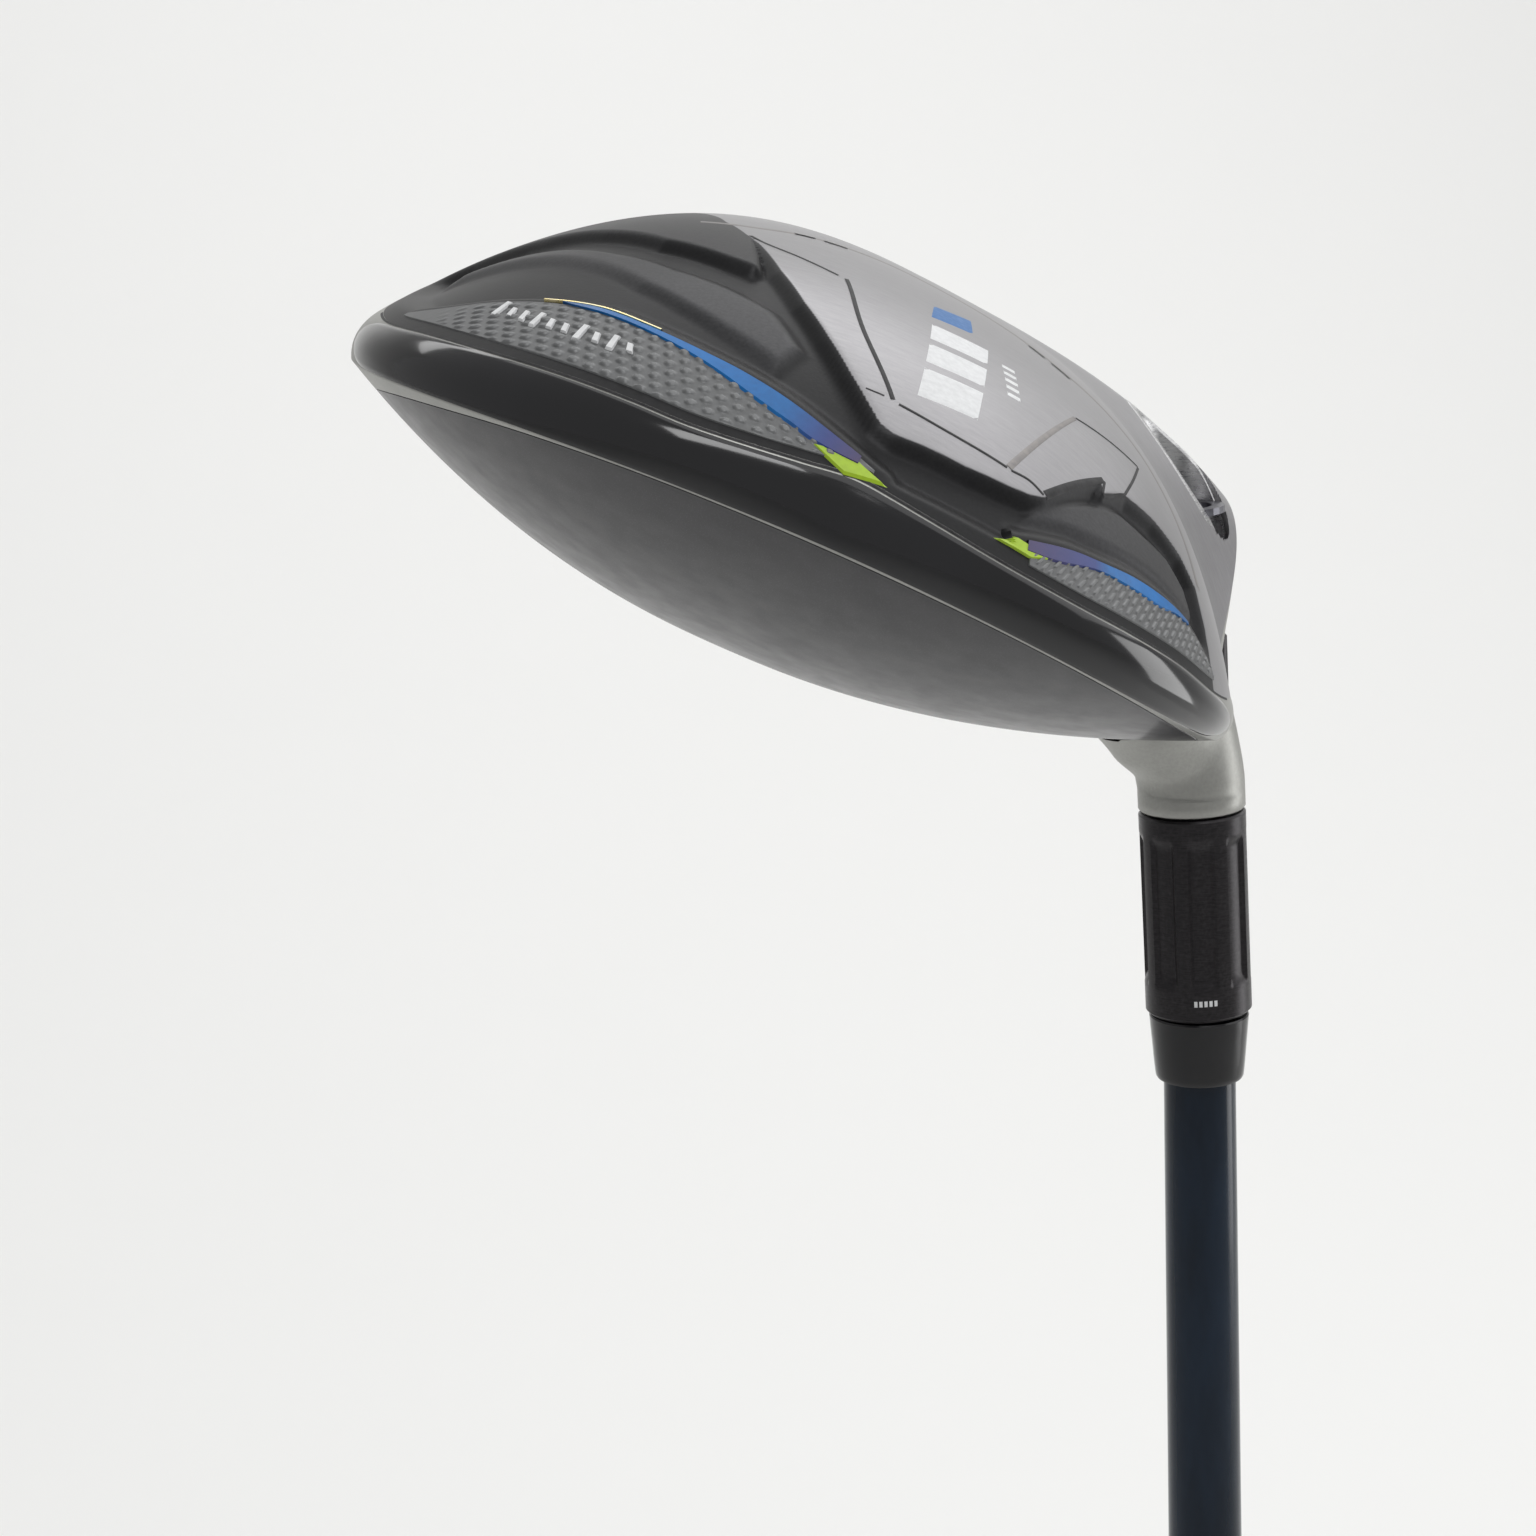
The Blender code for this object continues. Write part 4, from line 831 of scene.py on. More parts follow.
KEEL_LINES = (
    (((53.2, -28.6), (51.8, -30.5), (47.6, -33.2), (43.6, -35.3)), 0.4),
    (((42.7, -35.6), (39.7, -46.4), (34.6, -56.0)), 0.5),
    (((33.9, -56.3), (28, -56.8), (21.9, -56.8)), 0.32),
    (((37.4, -56.0), (35.5, -56.0)), 0.18),
    (((15.8, -39.3), (11.4, -37.1), (7.1, -35.0)), 0.3),
    (((7.0, -35.2), (7.7, -40.2), (8.6, -45.2)), 0.3),
    (((8.6, -45.2), (11.2, -48.9), (11.3, -46.9)), 0.3),
    (((21.4, -56.8), (19.2, -56.4), (17.5, -56.8)), 0.3),
)
EDGE_DASHES = (((49.0, -21.4), (46.8, -20.5)), ((45.8, -20.2), (43.2, -19.5)), ((21.6, -23.2), (19.6, -24.4)), ((18.8, -24.9), (16.4, -25.9)))
LEADING_STRIP = (
    (58.4, -23.4), (52.5, -23.2), (48.4, -20.8), (42.9, -18.6), (37.0, -16.8), (29.9, -17.6), (23.9, -20.6),
    (17.7, -24.2), (11.5, -26.0), (6.3, -28.0), (2.2, -31.2), (-1.2, -35.0), (-3.8, -39.2),
)


def build_keel_details(form, finishes):
    lines = PatchSet()
    for points, width in KEEL_LINES:
        ribbon(form, lines, points, width, lift=0.02)
    ribbon(form, lines, ((17.3, -56.6), (14.2, -51.3), (11.5, -46.9)), (0.9, 0.7), lift=0.02)
    for dash in EDGE_DASHES:
        ribbon(form, lines, dash, 0.5, lift=0.06)
    add_piece("keel_grooves", lines.mesh("keel_grooves", form.address_frame), groove_finish(), "head")
    bevels = PatchSet()
    ribbon(form, bevels, ((21.7, -56.6), (15.9, -39.5)), (0.75, 0.5), lift=0.02)
    ribbon(form, bevels, LEADING_STRIP, (0.9, 1.3, 1.3, 1.0), lift=0.0)
    add_piece("keel_bevels", bevels.mesh("keel_bevels", form.address_frame), bevel_finish(), "head")


def build_marks(form, finishes):
    """Plain printed marks: three blocks, a bar and a row of ticks."""
    blue = PatchSet()
    plate(form, blue, ((33.2, -31.4), (28.9, -29.4), (28.6, -34.6), (33.3, -36.0)), 0.045)
    add_piece("keel_mark_blue", blue.mesh("keel_mark_blue", form.address_frame), paint_finish(
        "mark_blue", finishes.accent_blue, 0.4), "head")
    white = PatchSet()
    for low, high in ((0.0, 0.26), (0.34, 0.60), (0.68, 1.0)):
        start = np.array((33.1, -38.2)) + np.array((-0.6, -15.6)) * low
        stop = np.array((33.1, -38.2)) + np.array((-0.6, -15.6)) * high
        width = np.array((-6.4, 0.9))
        plate(form, white, (start, start + width, stop + width, stop), 0.045)
    for k in range(5):
        base = np.array((25.0, -38.9)) + np.array((-0.28, -1.45)) * k
        plate(form, white, (base, base + (-1.5, 0.2), base + (-1.6, -0.5), base + (-0.1, -0.7)), 0.045, 4, 6)
    add_piece("keel_mark_white", white.mesh("keel_mark_white", form.address_frame), paint_finish(
        "mark_chalk", finishes.chalk, 0.5), "head")


def badge_grid(form, span, top, seam_share, columns, rows, texture, base_lift):
    """A crescent on the sole between its top line and the seam, with a raised texture."""
    degrees = np.linspace(span[0], span[1], columns)
    upper = curve_through(top, degrees)
    lower = curve_through(SEAM_WAVE, degrees) * seam_share
    upper = np.minimum(upper, lower - 0.002)
    k = np.linspace(0, 1, rows)[:, None]
    share = upper + (lower - upper) * k
    angle = np.broadcast_to(degrees, share.shape)
    flat = form.on_sole_polar(angle, share)
    middle = flat[rows // 2]
    along = np.concatenate([[0.0], np.cumsum(np.linalg.norm(np.diff(middle, axis=0), axis=1))])
    along = np.broadcast_to(along, share.shape)
    down = np.linalg.norm(flat - flat[0], axis=-1)
    width = down[-1]
    edge = np.minimum(down, width - down)
    ends = np.minimum(along, along[0, -1] - along)
    margin = np.minimum(edge, ends)
    raised = texture(along, down) * smooth_step(0.15, 0.6, margin)
    lift = -0.12 + (base_lift + 0.12) * smooth_step(0.0, 0.16, margin) + raised
    return form.on_sole_polar(angle, share, lift), along, down, raised


def round_bumps(along, down):
    pitch = 1.9
    row = np.round(down / (pitch * 0.62))
    shift = np.where(row % 2 == 0, 0.0, pitch / 2)
    off_along = (along - shift) - np.round((along - shift) / pitch) * pitch
    off_down = down - row * pitch * 0.62
    reach = np.hypot(off_along * 0.8, off_down)
    fade = smooth_step(5.0, 14.0, along)
    return 0.2 * (1 - smooth_step(0.2, 0.56, reach)) * fade


def slanted_dashes(along, down):
    pitch = 1.02
    slid = along + 0.75 * down
    row = np.round(slid / pitch)
    off_along = slid - row * pitch
    cell = 1.5
    shift = np.where(row % 2 == 0, 0.0, cell / 2)
    off_down = (down - shift) - np.round((down - shift) / cell) * cell
    long_side = np.maximum(np.abs(off_down) - 0.35, 0.0)
    reach = np.hypot(off_along, long_side)
    return 0.15 * (1 - smooth_step(0.14, 0.32, reach))


def polar_ribbon(form, patches, upper, lower, span, lift, rows=9, columns=160):
    """A strip on the sole between two lines given by outline angle and share."""
    degrees = np.linspace(span[0], span[1], columns)
    high = curve_through(upper, degrees)
    low = curve_through(lower, degrees)
    k = np.linspace(0, 1, rows)[:, None]
    share = high + (low - high) * k
    lifts = np.where((k <= 0) | (k >= 1), 0.0, lift) + np.zeros_like(share)
    grid = form.on_sole_polar(np.broadcast_to(degrees, share.shape), share, lifts)
    patches.add(grid, facing=DOWN, run=np.broadcast_to(np.linspace(0, 1, columns), share.shape))


TOE_STRIPE_LOW = (
    (-86.5, 0.972), (-84.5, 0.972), (-81.0, 0.966), (-78.9, 0.956), (-77.1, 0.949), (-73.5, 0.934), (-66.9, 0.907),
    (-59.1, 0.888), (-49.3, 0.880), (-44.0, 0.884),
)
HEEL_STRIPE_LOW = (
    (-139.5, 0.930), (-135.0, 0.925), (-130.5, 0.931), (-122.9, 0.931), (-116.2, 0.936), (-107.8, 0.966), (-103.0, 0.975),
)


def offset_line(line, by):
    return [(degrees, share + by) for degrees, share in line]


def build_badges(form, finishes):
    resin = badge_finish(finishes)
    patches = PatchSet()
    grid, _, _, raised = badge_grid(form, (-18.6, -87.6), TOE_BADGE_TOP, 0.986, 620, 96, round_bumps, 0.12)
    patches.add(grid, facing=DOWN, raised=raised)
    add_piece("toe_crescent", patches.mesh("toe_crescent", form.address_frame), resin, "head", ("toe_badge",))
    patches = PatchSet()
    grid, _, _, raised = badge_grid(form, (-104.6, -148.0), HEEL_BADGE_TOP, 0.986, 480, 72, slanted_dashes, 0.12)
    patches.add(grid, facing=DOWN, raised=raised)
    add_piece("heel_crescent", patches.mesh("heel_crescent", form.address_frame), resin, "head", ("heel_badge",))

    edge = PatchSet()
    polar_ribbon(form, edge, offset_line(TOE_BADGE_TOP, -0.006), offset_line(TOE_BADGE_TOP, -0.002), (-39, -58), 0.30, 5, 160)
    add_piece("badge_edges", edge.mesh("badge_edges", form.address_frame), bright_edge_finish(), "head")

    stripe = PatchSet()
    polar_ribbon(form, stripe, offset_line(TOE_BADGE_TOP, -0.001), TOE_STRIPE_LOW, (-42.0, -86.0), 0.34, 9, 260)
    add_piece("toe_stripe", stripe.mesh("toe_stripe", form.address_frame), stripe_finish(
        "toe_stripe_paint", finishes, (0.0, 0.16, 0.5, 0.8, 0.92, 1.0)), "head")
    stripe = PatchSet()
    polar_ribbon(form, stripe, offset_line(HEEL_BADGE_TOP, -0.001), HEEL_STRIPE_LOW, (-139.0, -104.2), 0.30, 9, 200)
    add_piece("heel_stripe", stripe.mesh("heel_stripe", form.address_frame), stripe_finish(
        "heel_stripe_paint", finishes, (0.0, 0.10, 0.3, 0.60, 0.68, 1.0)), "head")

    chips = PatchSet()
    plate(form, chips, ((-81.3, 0.967), (-84.7, 0.956), (-88.9, 0.984), (-85.4, 0.995)), 0.24, 12, 16, polar=True)
    plate(form, chips, ((-99.7, 0.977), (-102.4, 0.957), (-108.3, 0.962), (-105.0, 0.979)), 0.24, 12, 16, polar=True)
    add_piece("badge_chips", chips.mesh("badge_chips", form.address_frame), paint_finish(
        "chip_lime", finishes.accent_lime, 0.35), "head")

    mark = PatchSet()
    for k, size in enumerate((1.0, 0.55, 0.6, 0.9, 0.55, 0.5, 1.0, 0.55, 0.9, 0.5)):
        start = -34.5 - 2.45 * k
        share = 0.932 - 0.0006 * k
        plate(form, mark, ((start, share - 0.020 * size), (start - 1.0, share - 0.020 * size),
                           (start - 2.3, share + 0.016 * size), (start - 1.1, share + 0.016 * size)), 0.36, 10, 8, polar=True)
    add_piece("toe_mark", mark.mesh("toe_mark", form.address_frame), paint_finish(
        "toe_mark_chalk", finishes.chalk, 0.5), "head")


def build_seam_lines(form, finishes):
    """The dark line under the sole's edge."""
    degrees = np.linspace(-8.0, -156.0, 500)
    angle = np.radians(degrees)
    low = form.seam_points(angle)
    top_share = form.crown_edge(angle)
    high = form.crown_at(angle, top_share)
    rows = [form.wall_at(angle, np.full_like(angle, k), low, high, top_share) for k in (0.004, 0.014, 0.034, 0.044)]
    grid = np.array(rows)
    normal = -grid_normals(grid, wrap=False)
    grid = form.pushed(grid, normal) + normal * 0.03
    patches = PatchSet()
    patches.add(grid, facing=REARWARD)
    add_piece("seam_line", patches.mesh("seam_line", form.address_frame), groove_finish(), "head")


def build_face(form, finishes):
    """The face plate with its score lines."""
    half_x, half_z = 37.0, 12.4
    columns = 240
    angle = np.linspace(0, math.tau, columns, endpoint=False)
    c = np.cos(angle)
    s = np.sin(angle)
    rim_x = half_x * np.sign(c) * np.abs(c) ** (2 / 2.6)
    rim_z = half_z * np.sign(s) * np.abs(s) ** (2 / 2.6)
    k = np.concatenate([np.linspace(0.01, 0.98, 90), [0.99, 1.0]])[:, None]
    x = FACE_MIDDLE[0] + rim_x * k
    z = FACE_MIDDLE[1] + 0.06 * rim_x * k + rim_z * k
    groove_step = 2.6
    off = z - 9.0 - np.round((z - 9.0) / groove_step) * groove_step
    inside = (1 - smooth_step(15.5, 16.0, np.abs(x - 32))) * (1 - smooth_step(9.0, 9.2, np.abs(z - FACE_MIDDLE[1])))
    depth = 0.25 * (1 - smooth_step(0.12, 0.34, np.abs(off))) * inside
    lift = 0.06 * (1 - smooth_step(0.985, 1.0, k)) - depth
    grid = np.stack([x, form.face_y(x, z) + lift, z], -1)
    patches = PatchSet()
    # groove carries the score lines' cut depth; the face's finish paints shade there.
    patches.add(grid, wrap=True, facing=FORWARD, groove=depth / 0.25)
    mesh = patches.mesh("face_plate_skin", form.address_frame)
    return add_piece("face_plate_skin", mesh, face_finish(), "head", ("face_plate",))


def build_slot(form, finishes):
    """The soft insert behind the leading edge, with a raised bead along each side."""
    share = np.linspace(-1, 1, 240)
    across = np.linspace(-0.5, 0.5, 21)
    plan_x = 31.0 + share[None] * 28.0 + 0 * across[:, None]
    taper = np.sqrt(np.maximum(1 - np.maximum((np.abs(share) - 0.94) / 0.06, 0) ** 2, 0.02))
    plan_y = 7.6 - 2.2 * share[None] ** 2 + across[:, None] * 3.4 * taper[None]
    edge = 0.5 - np.abs(across)[:, None]
    ribs = 0.08 * np.cos(share[None] * 28.0 * math.tau / 2.0)
    lift = np.where(edge < 0.02, -0.02, np.where(edge < 0.16, 0.12, 0.02 + ribs))
    grid = form.on_sole(plan_x, plan_y, lift)
    patches = PatchSet()
    patches.add(grid, facing=DOWN)
    mesh = patches.mesh("slot_insert_skin", form.address_frame)
    return add_piece("slot_insert_skin", mesh, rubber_finish(
        "slot_polymer_skin", (0.02, 0.02, 0.022), 900), "head", ("slot_insert",))


# ---------------------------------------------------------------- pieces on the shaft's side

def build_sleeve(form, finishes):
    sizes = bpy.context.scene.club_shaft
    radius = sizes.sleeve_radius / MM
    start = sizes.flute_start / MM
    stop = sizes.flute_end / MM
    depth = sizes.flute_depth / MM
    rim = form.neck["rim"] - 0.3
    corners = [(4.7, 0.0), (radius - 0.45, 0.0), (radius, 0.45), (radius, rim - 0.25), (radius - 0.25, rim), (4.9, rim)]

    def fluted(r, z, turn):
        wave = np.cos(sizes.flutes * turn)
        window = smooth_step(start, start + 1.6, z) * (1 - smooth_step(stop - 1.6, stop, z))
        on_side = r > radius - 0.2
        return r - np.where(on_side, depth * smooth_step(-0.45, -0.1, wave) * window, 0.0)

    patches = PatchSet()
    patches.add(turned_grid(dense_profile(corners, 0.3), 192, fluted), wrap=True)
    spigot = [(5.1, rim), (5.1, rim + 12.5), (4.8, rim + 12.9), (4.8, rim + 20.6), (4.4, rim + 21), (2.7, rim + 21), (2.7, rim + 12)]

    def splined(r, z, turn):
        teeth = 0.25 - 0.25 * np.cos(12 * turn)
        return r - np.where((z > rim + 12.7) & (r > 4.0), teeth, 0.0)

    patches.add(turned_grid(dense_profile(spigot, 0.4), 192, splined), wrap=True)
    mesh = patches.mesh("loft_sleeve_skin", form.hosel_frame, math.radians(32))
    add_piece("loft_sleeve_skin", mesh, anodised_finish(finishes), "shaft_assembly", ("loft_sleeve",))

    ticks = PatchSet()
    for k in range(5):
        middle = math.radians(-101 + 5.4 * k)
        angles = np.linspace(middle - 0.03, middle + 0.03, 5)
        heights = (2.15, 2.85)
        grid = np.stack([np.stack([(radius + 0.012) * np.cos(angles), (radius + 0.012) * np.sin(angles),
                                   np.full(5, height)], -1) for height in heights])
        ticks.add(grid)
    add_piece("sleeve_ticks", ticks.mesh("sleeve_ticks", form.hosel_frame), paint_finish(
        "tick_chalk", finishes.chalk, 0.5), "shaft_assembly")


def build_ferrule(form, finishes):
    low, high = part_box("ferrule")
    start = low.z / MM
    stop = high.z / MM
    bore = 4.6
    corners = [(bore, start), (4.95, start), (5.12, start + 0.08), (5.24, start + 0.3), (5.3, start + 0.7),
               (5.42, start + 1.9), (5.92, stop - 0.2), (5.8, stop), (bore, stop)]
    patches = PatchSet()
    patches.add(turned_grid(dense_profile(corners, 0.25), 128), wrap=True)
    mesh = patches.mesh("ferrule_skin", Matrix.Identity(4), math.radians(30))
    add_piece("ferrule_skin", mesh, gloss_finish(
        "ferrule_gloss", (0.004, 0.004, 0.005), 0.16, 0.0), "shaft_assembly", ("ferrule",))


def shaft_profile():
    """(radius, height) of the shaft in millimetres, measured from its packed solid."""
    mesh = frame["nodes"]["shaft"].data
    points = np.empty(len(mesh.vertices) * 3)
    mesh.vertices.foreach_get("co", points)
    points = points.reshape(-1, 3) / MM
    levels = np.unique(np.round(points[:, 2], 2))
    reach = np.hypot(points[:, 0], points[:, 1])
    return [(reach[np.abs(points[:, 2] - level) < 0.02].max(), level) for level in levels]


def build_shaft(form, finishes):
    outer = shaft_profile()
    wall = 1.1
    bottom = outer[0][1]
    top = outer[-1][1]
    corners = [(outer[0][0] - wall, bottom)] + outer + [(outer[-1][0] - wall, top)]
    corners += [(radius - wall, height) for radius, height in outer[::-1]]
    patches = PatchSet()
    patches.add(turned_grid(dense_profile(corners, 4.0), 96), wrap=True)
    mesh = patches.mesh("shaft_skin", Matrix.Identity(4), math.radians(40))
    add_piece("shaft_skin", mesh, shaft_finish(finishes), "shaft_assembly", ("shaft",))
    bands = PatchSet()
    grip_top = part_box("grip")[1].z / MM
    for low, high in ((60, 63), (66, 67), (70, 70.6), (610, 613), (616, 617)):
        ends = np.array([grip_top + low, grip_top + high])
        radii = np.interp(ends, [height for _, height in outer], [radius for radius, _ in outer]) + 0.03
        bands.add(turned_grid([(radii[0] - 0.03, ends[0]), (radii[0], ends[0]), (radii[1], ends[1]),
                               (radii[1] - 0.03, ends[1])], 96), wrap=True)
    add_piece("shaft_bands", bands.mesh("shaft_bands"), paint_finish(
        "band_silver", (0.5, 0.52, 0.55), 0.3), "shaft_assembly")


def build_grip(form, finishes):
    sizes = bpy.context.scene.club_shaft
    low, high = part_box("grip")
    start = low.z / MM
    stop = high.z / MM
    mesh = frame["nodes"]["grip"].data
    points = np.empty(len(mesh.vertices) * 3)
    mesh.vertices.foreach_get("co", points)
    points = points.reshape(-1, 3) / MM
    reach = np.hypot(points[:, 0], points[:, 1])
    levels = np.unique(np.round(points[:, 2], 1))
    skin = [reach[np.abs(points[:, 2] - level) < 0.1].max() for level in levels]
    mouth = reach[np.abs(points[:, 2] - stop) < 0.1].min()
    height = np.concatenate([np.linspace(start, stop - 0.8, 900), [stop - 0.35, stop - 0.1, stop]])
    radius = np.interp(height, levels, skin)
    radius[-2:] -= (0.15, 0.5)
    count = 144
    turn = np.linspace(0, math.tau, count, endpoint=False)
    z = height[:, None] + 0 * turn
    depth = sizes.grip_relief / MM
    share = (z - start) / (stop - start)
    rows = sizes.grip_rows
    row = share * rows
    lean = np.where(np.floor(row) % 2 == 0, 1.0, -1.0)
    cell = 18 * turn / math.tau + 0.5 * lean * (row % 1.0)
    groove = 1 - smooth_step(0.10, 0.2, np.abs(cell % 1.0 - 0.5))
    gap = smooth_step(0.04, 0.10, np.abs(row % 1.0 - 0.5) * -1 + 0.5)
    field = smooth_step(0.05, 0.06, share) * (1 - smooth_step(0.93, 0.94, share))
    bare = smooth_step(0.86, 0.9, np.abs(np.cos(turn * 1.0)))[None] * 0.0
    ring = 1 - smooth_step(0.25, 0.6, np.minimum(np.abs(z - start - 6.0), np.abs(z - stop + 9.0)))
    carved = depth * (groove * gap * field * (1 - bare) + ring)
    r = radius[:, None] - carved
    outside = np.stack([r * np.cos(turn), r * np.sin(turn), z], -1)
    inner_radius = mouth
    lip = turned_grid([(inner_radius + 0.3, stop), (inner_radius, stop - 0.3), (inner_radius, stop - 6)], count)
    foot = turned_grid([(radius[0] - 1.2, start)], count)
    patches = PatchSet()
    patches.add(np.concatenate([foot, outside, lip]), wrap=True)
    add_piece("grip_skin", patches.mesh("grip_skin"), rubber_finish(
        "grip_rubber_skin", finishes.rubber, 1400), "shaft_assembly", ("grip",))

    radius_cap = (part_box("grip_end_cap")[1].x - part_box("grip_end_cap")[0].x) / 2 / MM
    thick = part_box("grip")[0].z / MM - 0.3
    corners = [(1.3, thick), (1.3, 0.25), (1.6, 0.0), (4.2, 0.0), (4.4, 0.2), (5.2, 0.2), (5.4, 0.0), (8.6, 0.0), (8.8, 0.22),
               (9.8, 0.22), (10.0, 0.0), (radius_cap - 1.1, 0.05), (radius_cap - 0.45, 0.35), (radius_cap, 1.1),
               (radius_cap, thick), (radius_cap - 3.0, thick)]
    patches = PatchSet()
    patches.add(turned_grid(dense_profile(corners, 0.3), 144), wrap=True)
    add_piece("grip_cap_skin", patches.mesh("grip_cap_skin", sharp=math.radians(30)), rubber_finish(
        "grip_cap_rubber", finishes.rubber, 2200), "shaft_assembly", ("grip_end_cap",))


# ---------------------------------------------------------------- finishes

class Finish:
    """A principled material with helpers that add its detail."""

    def __init__(self, name, roughness, metallic=0.0, coat=0.0, coat_roughness=0.05, specular=0.5):
        self.material = bpy.data.materials.new(name)
        self.material.use_nodes = True
        self.nodes = self.material.node_tree.nodes
        self.links = self.material.node_tree.links
        self.shader = self.nodes["Principled BSDF"]
        self.shader.inputs["Roughness"].default_value = roughness
        self.shader.inputs["Metallic"].default_value = metallic
        self.shader.inputs["Coat Weight"].default_value = coat
        self.shader.inputs["Coat Roughness"].default_value = coat_roughness
        self.shader.inputs["Specular IOR Level"].default_value = specular
        self.place = self.nodes.new("ShaderNodeTexCoord").outputs["Object"]
        self.bumps = None

    def stretched(self, scale):
        node = self.nodes.new("ShaderNodeMapping")
        node.inputs["Scale"].default_value = scale
        self.links.new(self.place, node.inputs["Vector"])
        return node.outputs["Vector"]

    def noise(self, scale, detail=3.0, roughness=0.55, stretch=None):
        node = self.nodes.new("ShaderNodeTexNoise")
        node.inputs["Scale"].default_value = scale
        node.inputs["Detail"].default_value = detail
        node.inputs["Roughness"].default_value = roughness
        self.links.new(self.stretched(stretch) if stretch else self.place, node.inputs["Vector"])
        return node.outputs["Fac"]

    def cells(self, scale):
        node = self.nodes.new("ShaderNodeTexVoronoi")
        node.inputs["Scale"].default_value = scale
        self.links.new(self.place, node.inputs["Vector"])
        return node.outputs["Distance"]

    def value(self, name):
        node = self.nodes.new("ShaderNodeAttribute")
        node.attribute_name = name
        return node.outputs["Fac"]

    def span(self, source, low, high, to_low=0.0, to_high=1.0, smooth=False):
        node = self.nodes.new("ShaderNodeMapRange")
        node.interpolation_type = "SMOOTHSTEP" if smooth else "LINEAR"
        for key, number in (("From Min", low), ("From Max", high), ("To Min", to_low), ("To Max", to_high)):
            node.inputs[key].default_value = number
        self.links.new(source, node.inputs["Value"])
        return node.outputs["Result"]

    def mixed(self, share, first, second, blend="MIX"):
        node = self.nodes.new("ShaderNodeMix")
        node.data_type = "RGBA"
        node.blend_type = blend
        self.links.new(share, node.inputs[0])
        for socket, source in ((node.inputs[6], first), (node.inputs[7], second)):
            if isinstance(source, bpy.types.NodeSocket):
                self.links.new(source, socket)
            else:
                socket.default_value = (*source, 1.0)
        return node.outputs[2]

    def blended(self, share, first, second):
        node = self.nodes.new("ShaderNodeMix")
        self.links.new(share, node.inputs[0])
        for socket, source in ((node.inputs[2], first), (node.inputs[3], second)):
            if isinstance(source, bpy.types.NodeSocket):
                self.links.new(source, socket)
            else:
                socket.default_value = source
        return node.outputs[0]

    def ramp(self, source, stops):
        node = self.nodes.new("ShaderNodeValToRGB")
        elements = node.color_ramp.elements
        while len(elements) < len(stops):
            elements.new(0.5)
        for element, (position, tint) in zip(elements, stops):
            element.position = position
            element.color = (*tint, 1.0)
        self.links.new(source, node.inputs["Fac"])
        return node.outputs["Color"]

    def colour(self, source):
        self.links.new(source, self.shader.inputs["Base Color"])

    def roughness(self, source):
        self.links.new(source, self.shader.inputs["Roughness"])

    def metallic(self, source):
        self.links.new(source, self.shader.inputs["Metallic"])

    def bump(self, source, strength, distance):
        node = self.nodes.new("ShaderNodeBump")
        node.inputs["Strength"].default_value = strength
        node.inputs["Distance"].default_value = distance
        self.links.new(source, node.inputs["Height"])
        if self.bumps is not None:
            self.links.new(self.bumps, node.inputs["Normal"])
        self.bumps = node.outputs["Normal"]
        self.links.new(self.bumps, self.shader.inputs["Normal"])


def tinted(value, by):
    return tuple(min(max(channel * by, 0.0), 1.0) for channel in value)


def known(name):
    return bpy.data.materials.get(name)


def cast_detail(finish, base):
    """Bead-blasted steel: fine grain, cloudy tone and a few darker specks."""
    cloud = finish.noise(90, 3.0)
    grain = finish.noise(2600, 2.0)
    tone = finish.mixed(finish.span(cloud, 0.3, 0.7), tinted(base, 0.88), tinted(base, 1.08))
    return finish.mixed(finish.span(grain, 0.35, 0.75, 0.0, 0.5), tone, tinted(base, 0.8)), grain, cloud


def cast_finish(finishes):
    if known("cast_metal_blasted"):
        return known("cast_metal_blasted")
    finish = Finish("cast_metal_blasted", 0.42, 0.85)
    tone, grain, cloud = cast_detail(finish, finishes.cast_metal)
    finish.colour(tone)
    finish.roughness(finish.span(cloud, 0.3, 0.7, 0.40, 0.5))
    finish.bump(grain, 0.25, 0.00006)
    return finish.material


def sole_finish(finishes):
    """Satin keel, matte flanks with lighter facets, and the blasted rim, split by the design lines."""
    finish = Finish("sole_and_rim_metal", 0.4, 0.85)
    rim_tone, grain, cloud = cast_detail(finish, finishes.cast_metal)
    brushed = finish.noise(420, 3.0, 0.6, (1.0, 7.0, 1.0))
    keel_tone = finish.mixed(finish.span(brushed, 0.3, 0.7), tinted(finishes.keel_metal, 0.94), tinted(finishes.keel_metal, 1.06))
    # Painted light: the flanks are tinted lighter on their facets, standing for how the light falls on them.
    facet = finish.span(finish.value("facet"), -1.4, 0.5, 1.0, 0.0, True)
    flank_tone_with_painted_light = finish.mixed(facet, tuple(finishes.flank_metal), tuple(finishes.facet_painted_light))
    flank_tone_with_painted_light = finish.mixed(finish.span(grain, 0.3, 0.8, 0.0, 0.35), flank_tone_with_painted_light, tinted(finishes.flank_metal, 0.5))
    keel_side = finish.span(finish.value("keel_side"), -0.06, 0.06)
    sole_tone = finish.mixed(keel_side, keel_tone, flank_tone_with_painted_light)
    zone = finish.span(finish.value("zone"), 0.45, 0.55)
    finish.colour(finish.mixed(zone, rim_tone, sole_tone))
    sole_rough = finish.blended(keel_side, 0.38, 0.46)
    finish.roughness(finish.blended(zone, 0.42, sole_rough))
    finish.bump(grain, 0.2, 0.00005)
    finish.bump(cloud, 0.1, 0.0002)
    return finish.material


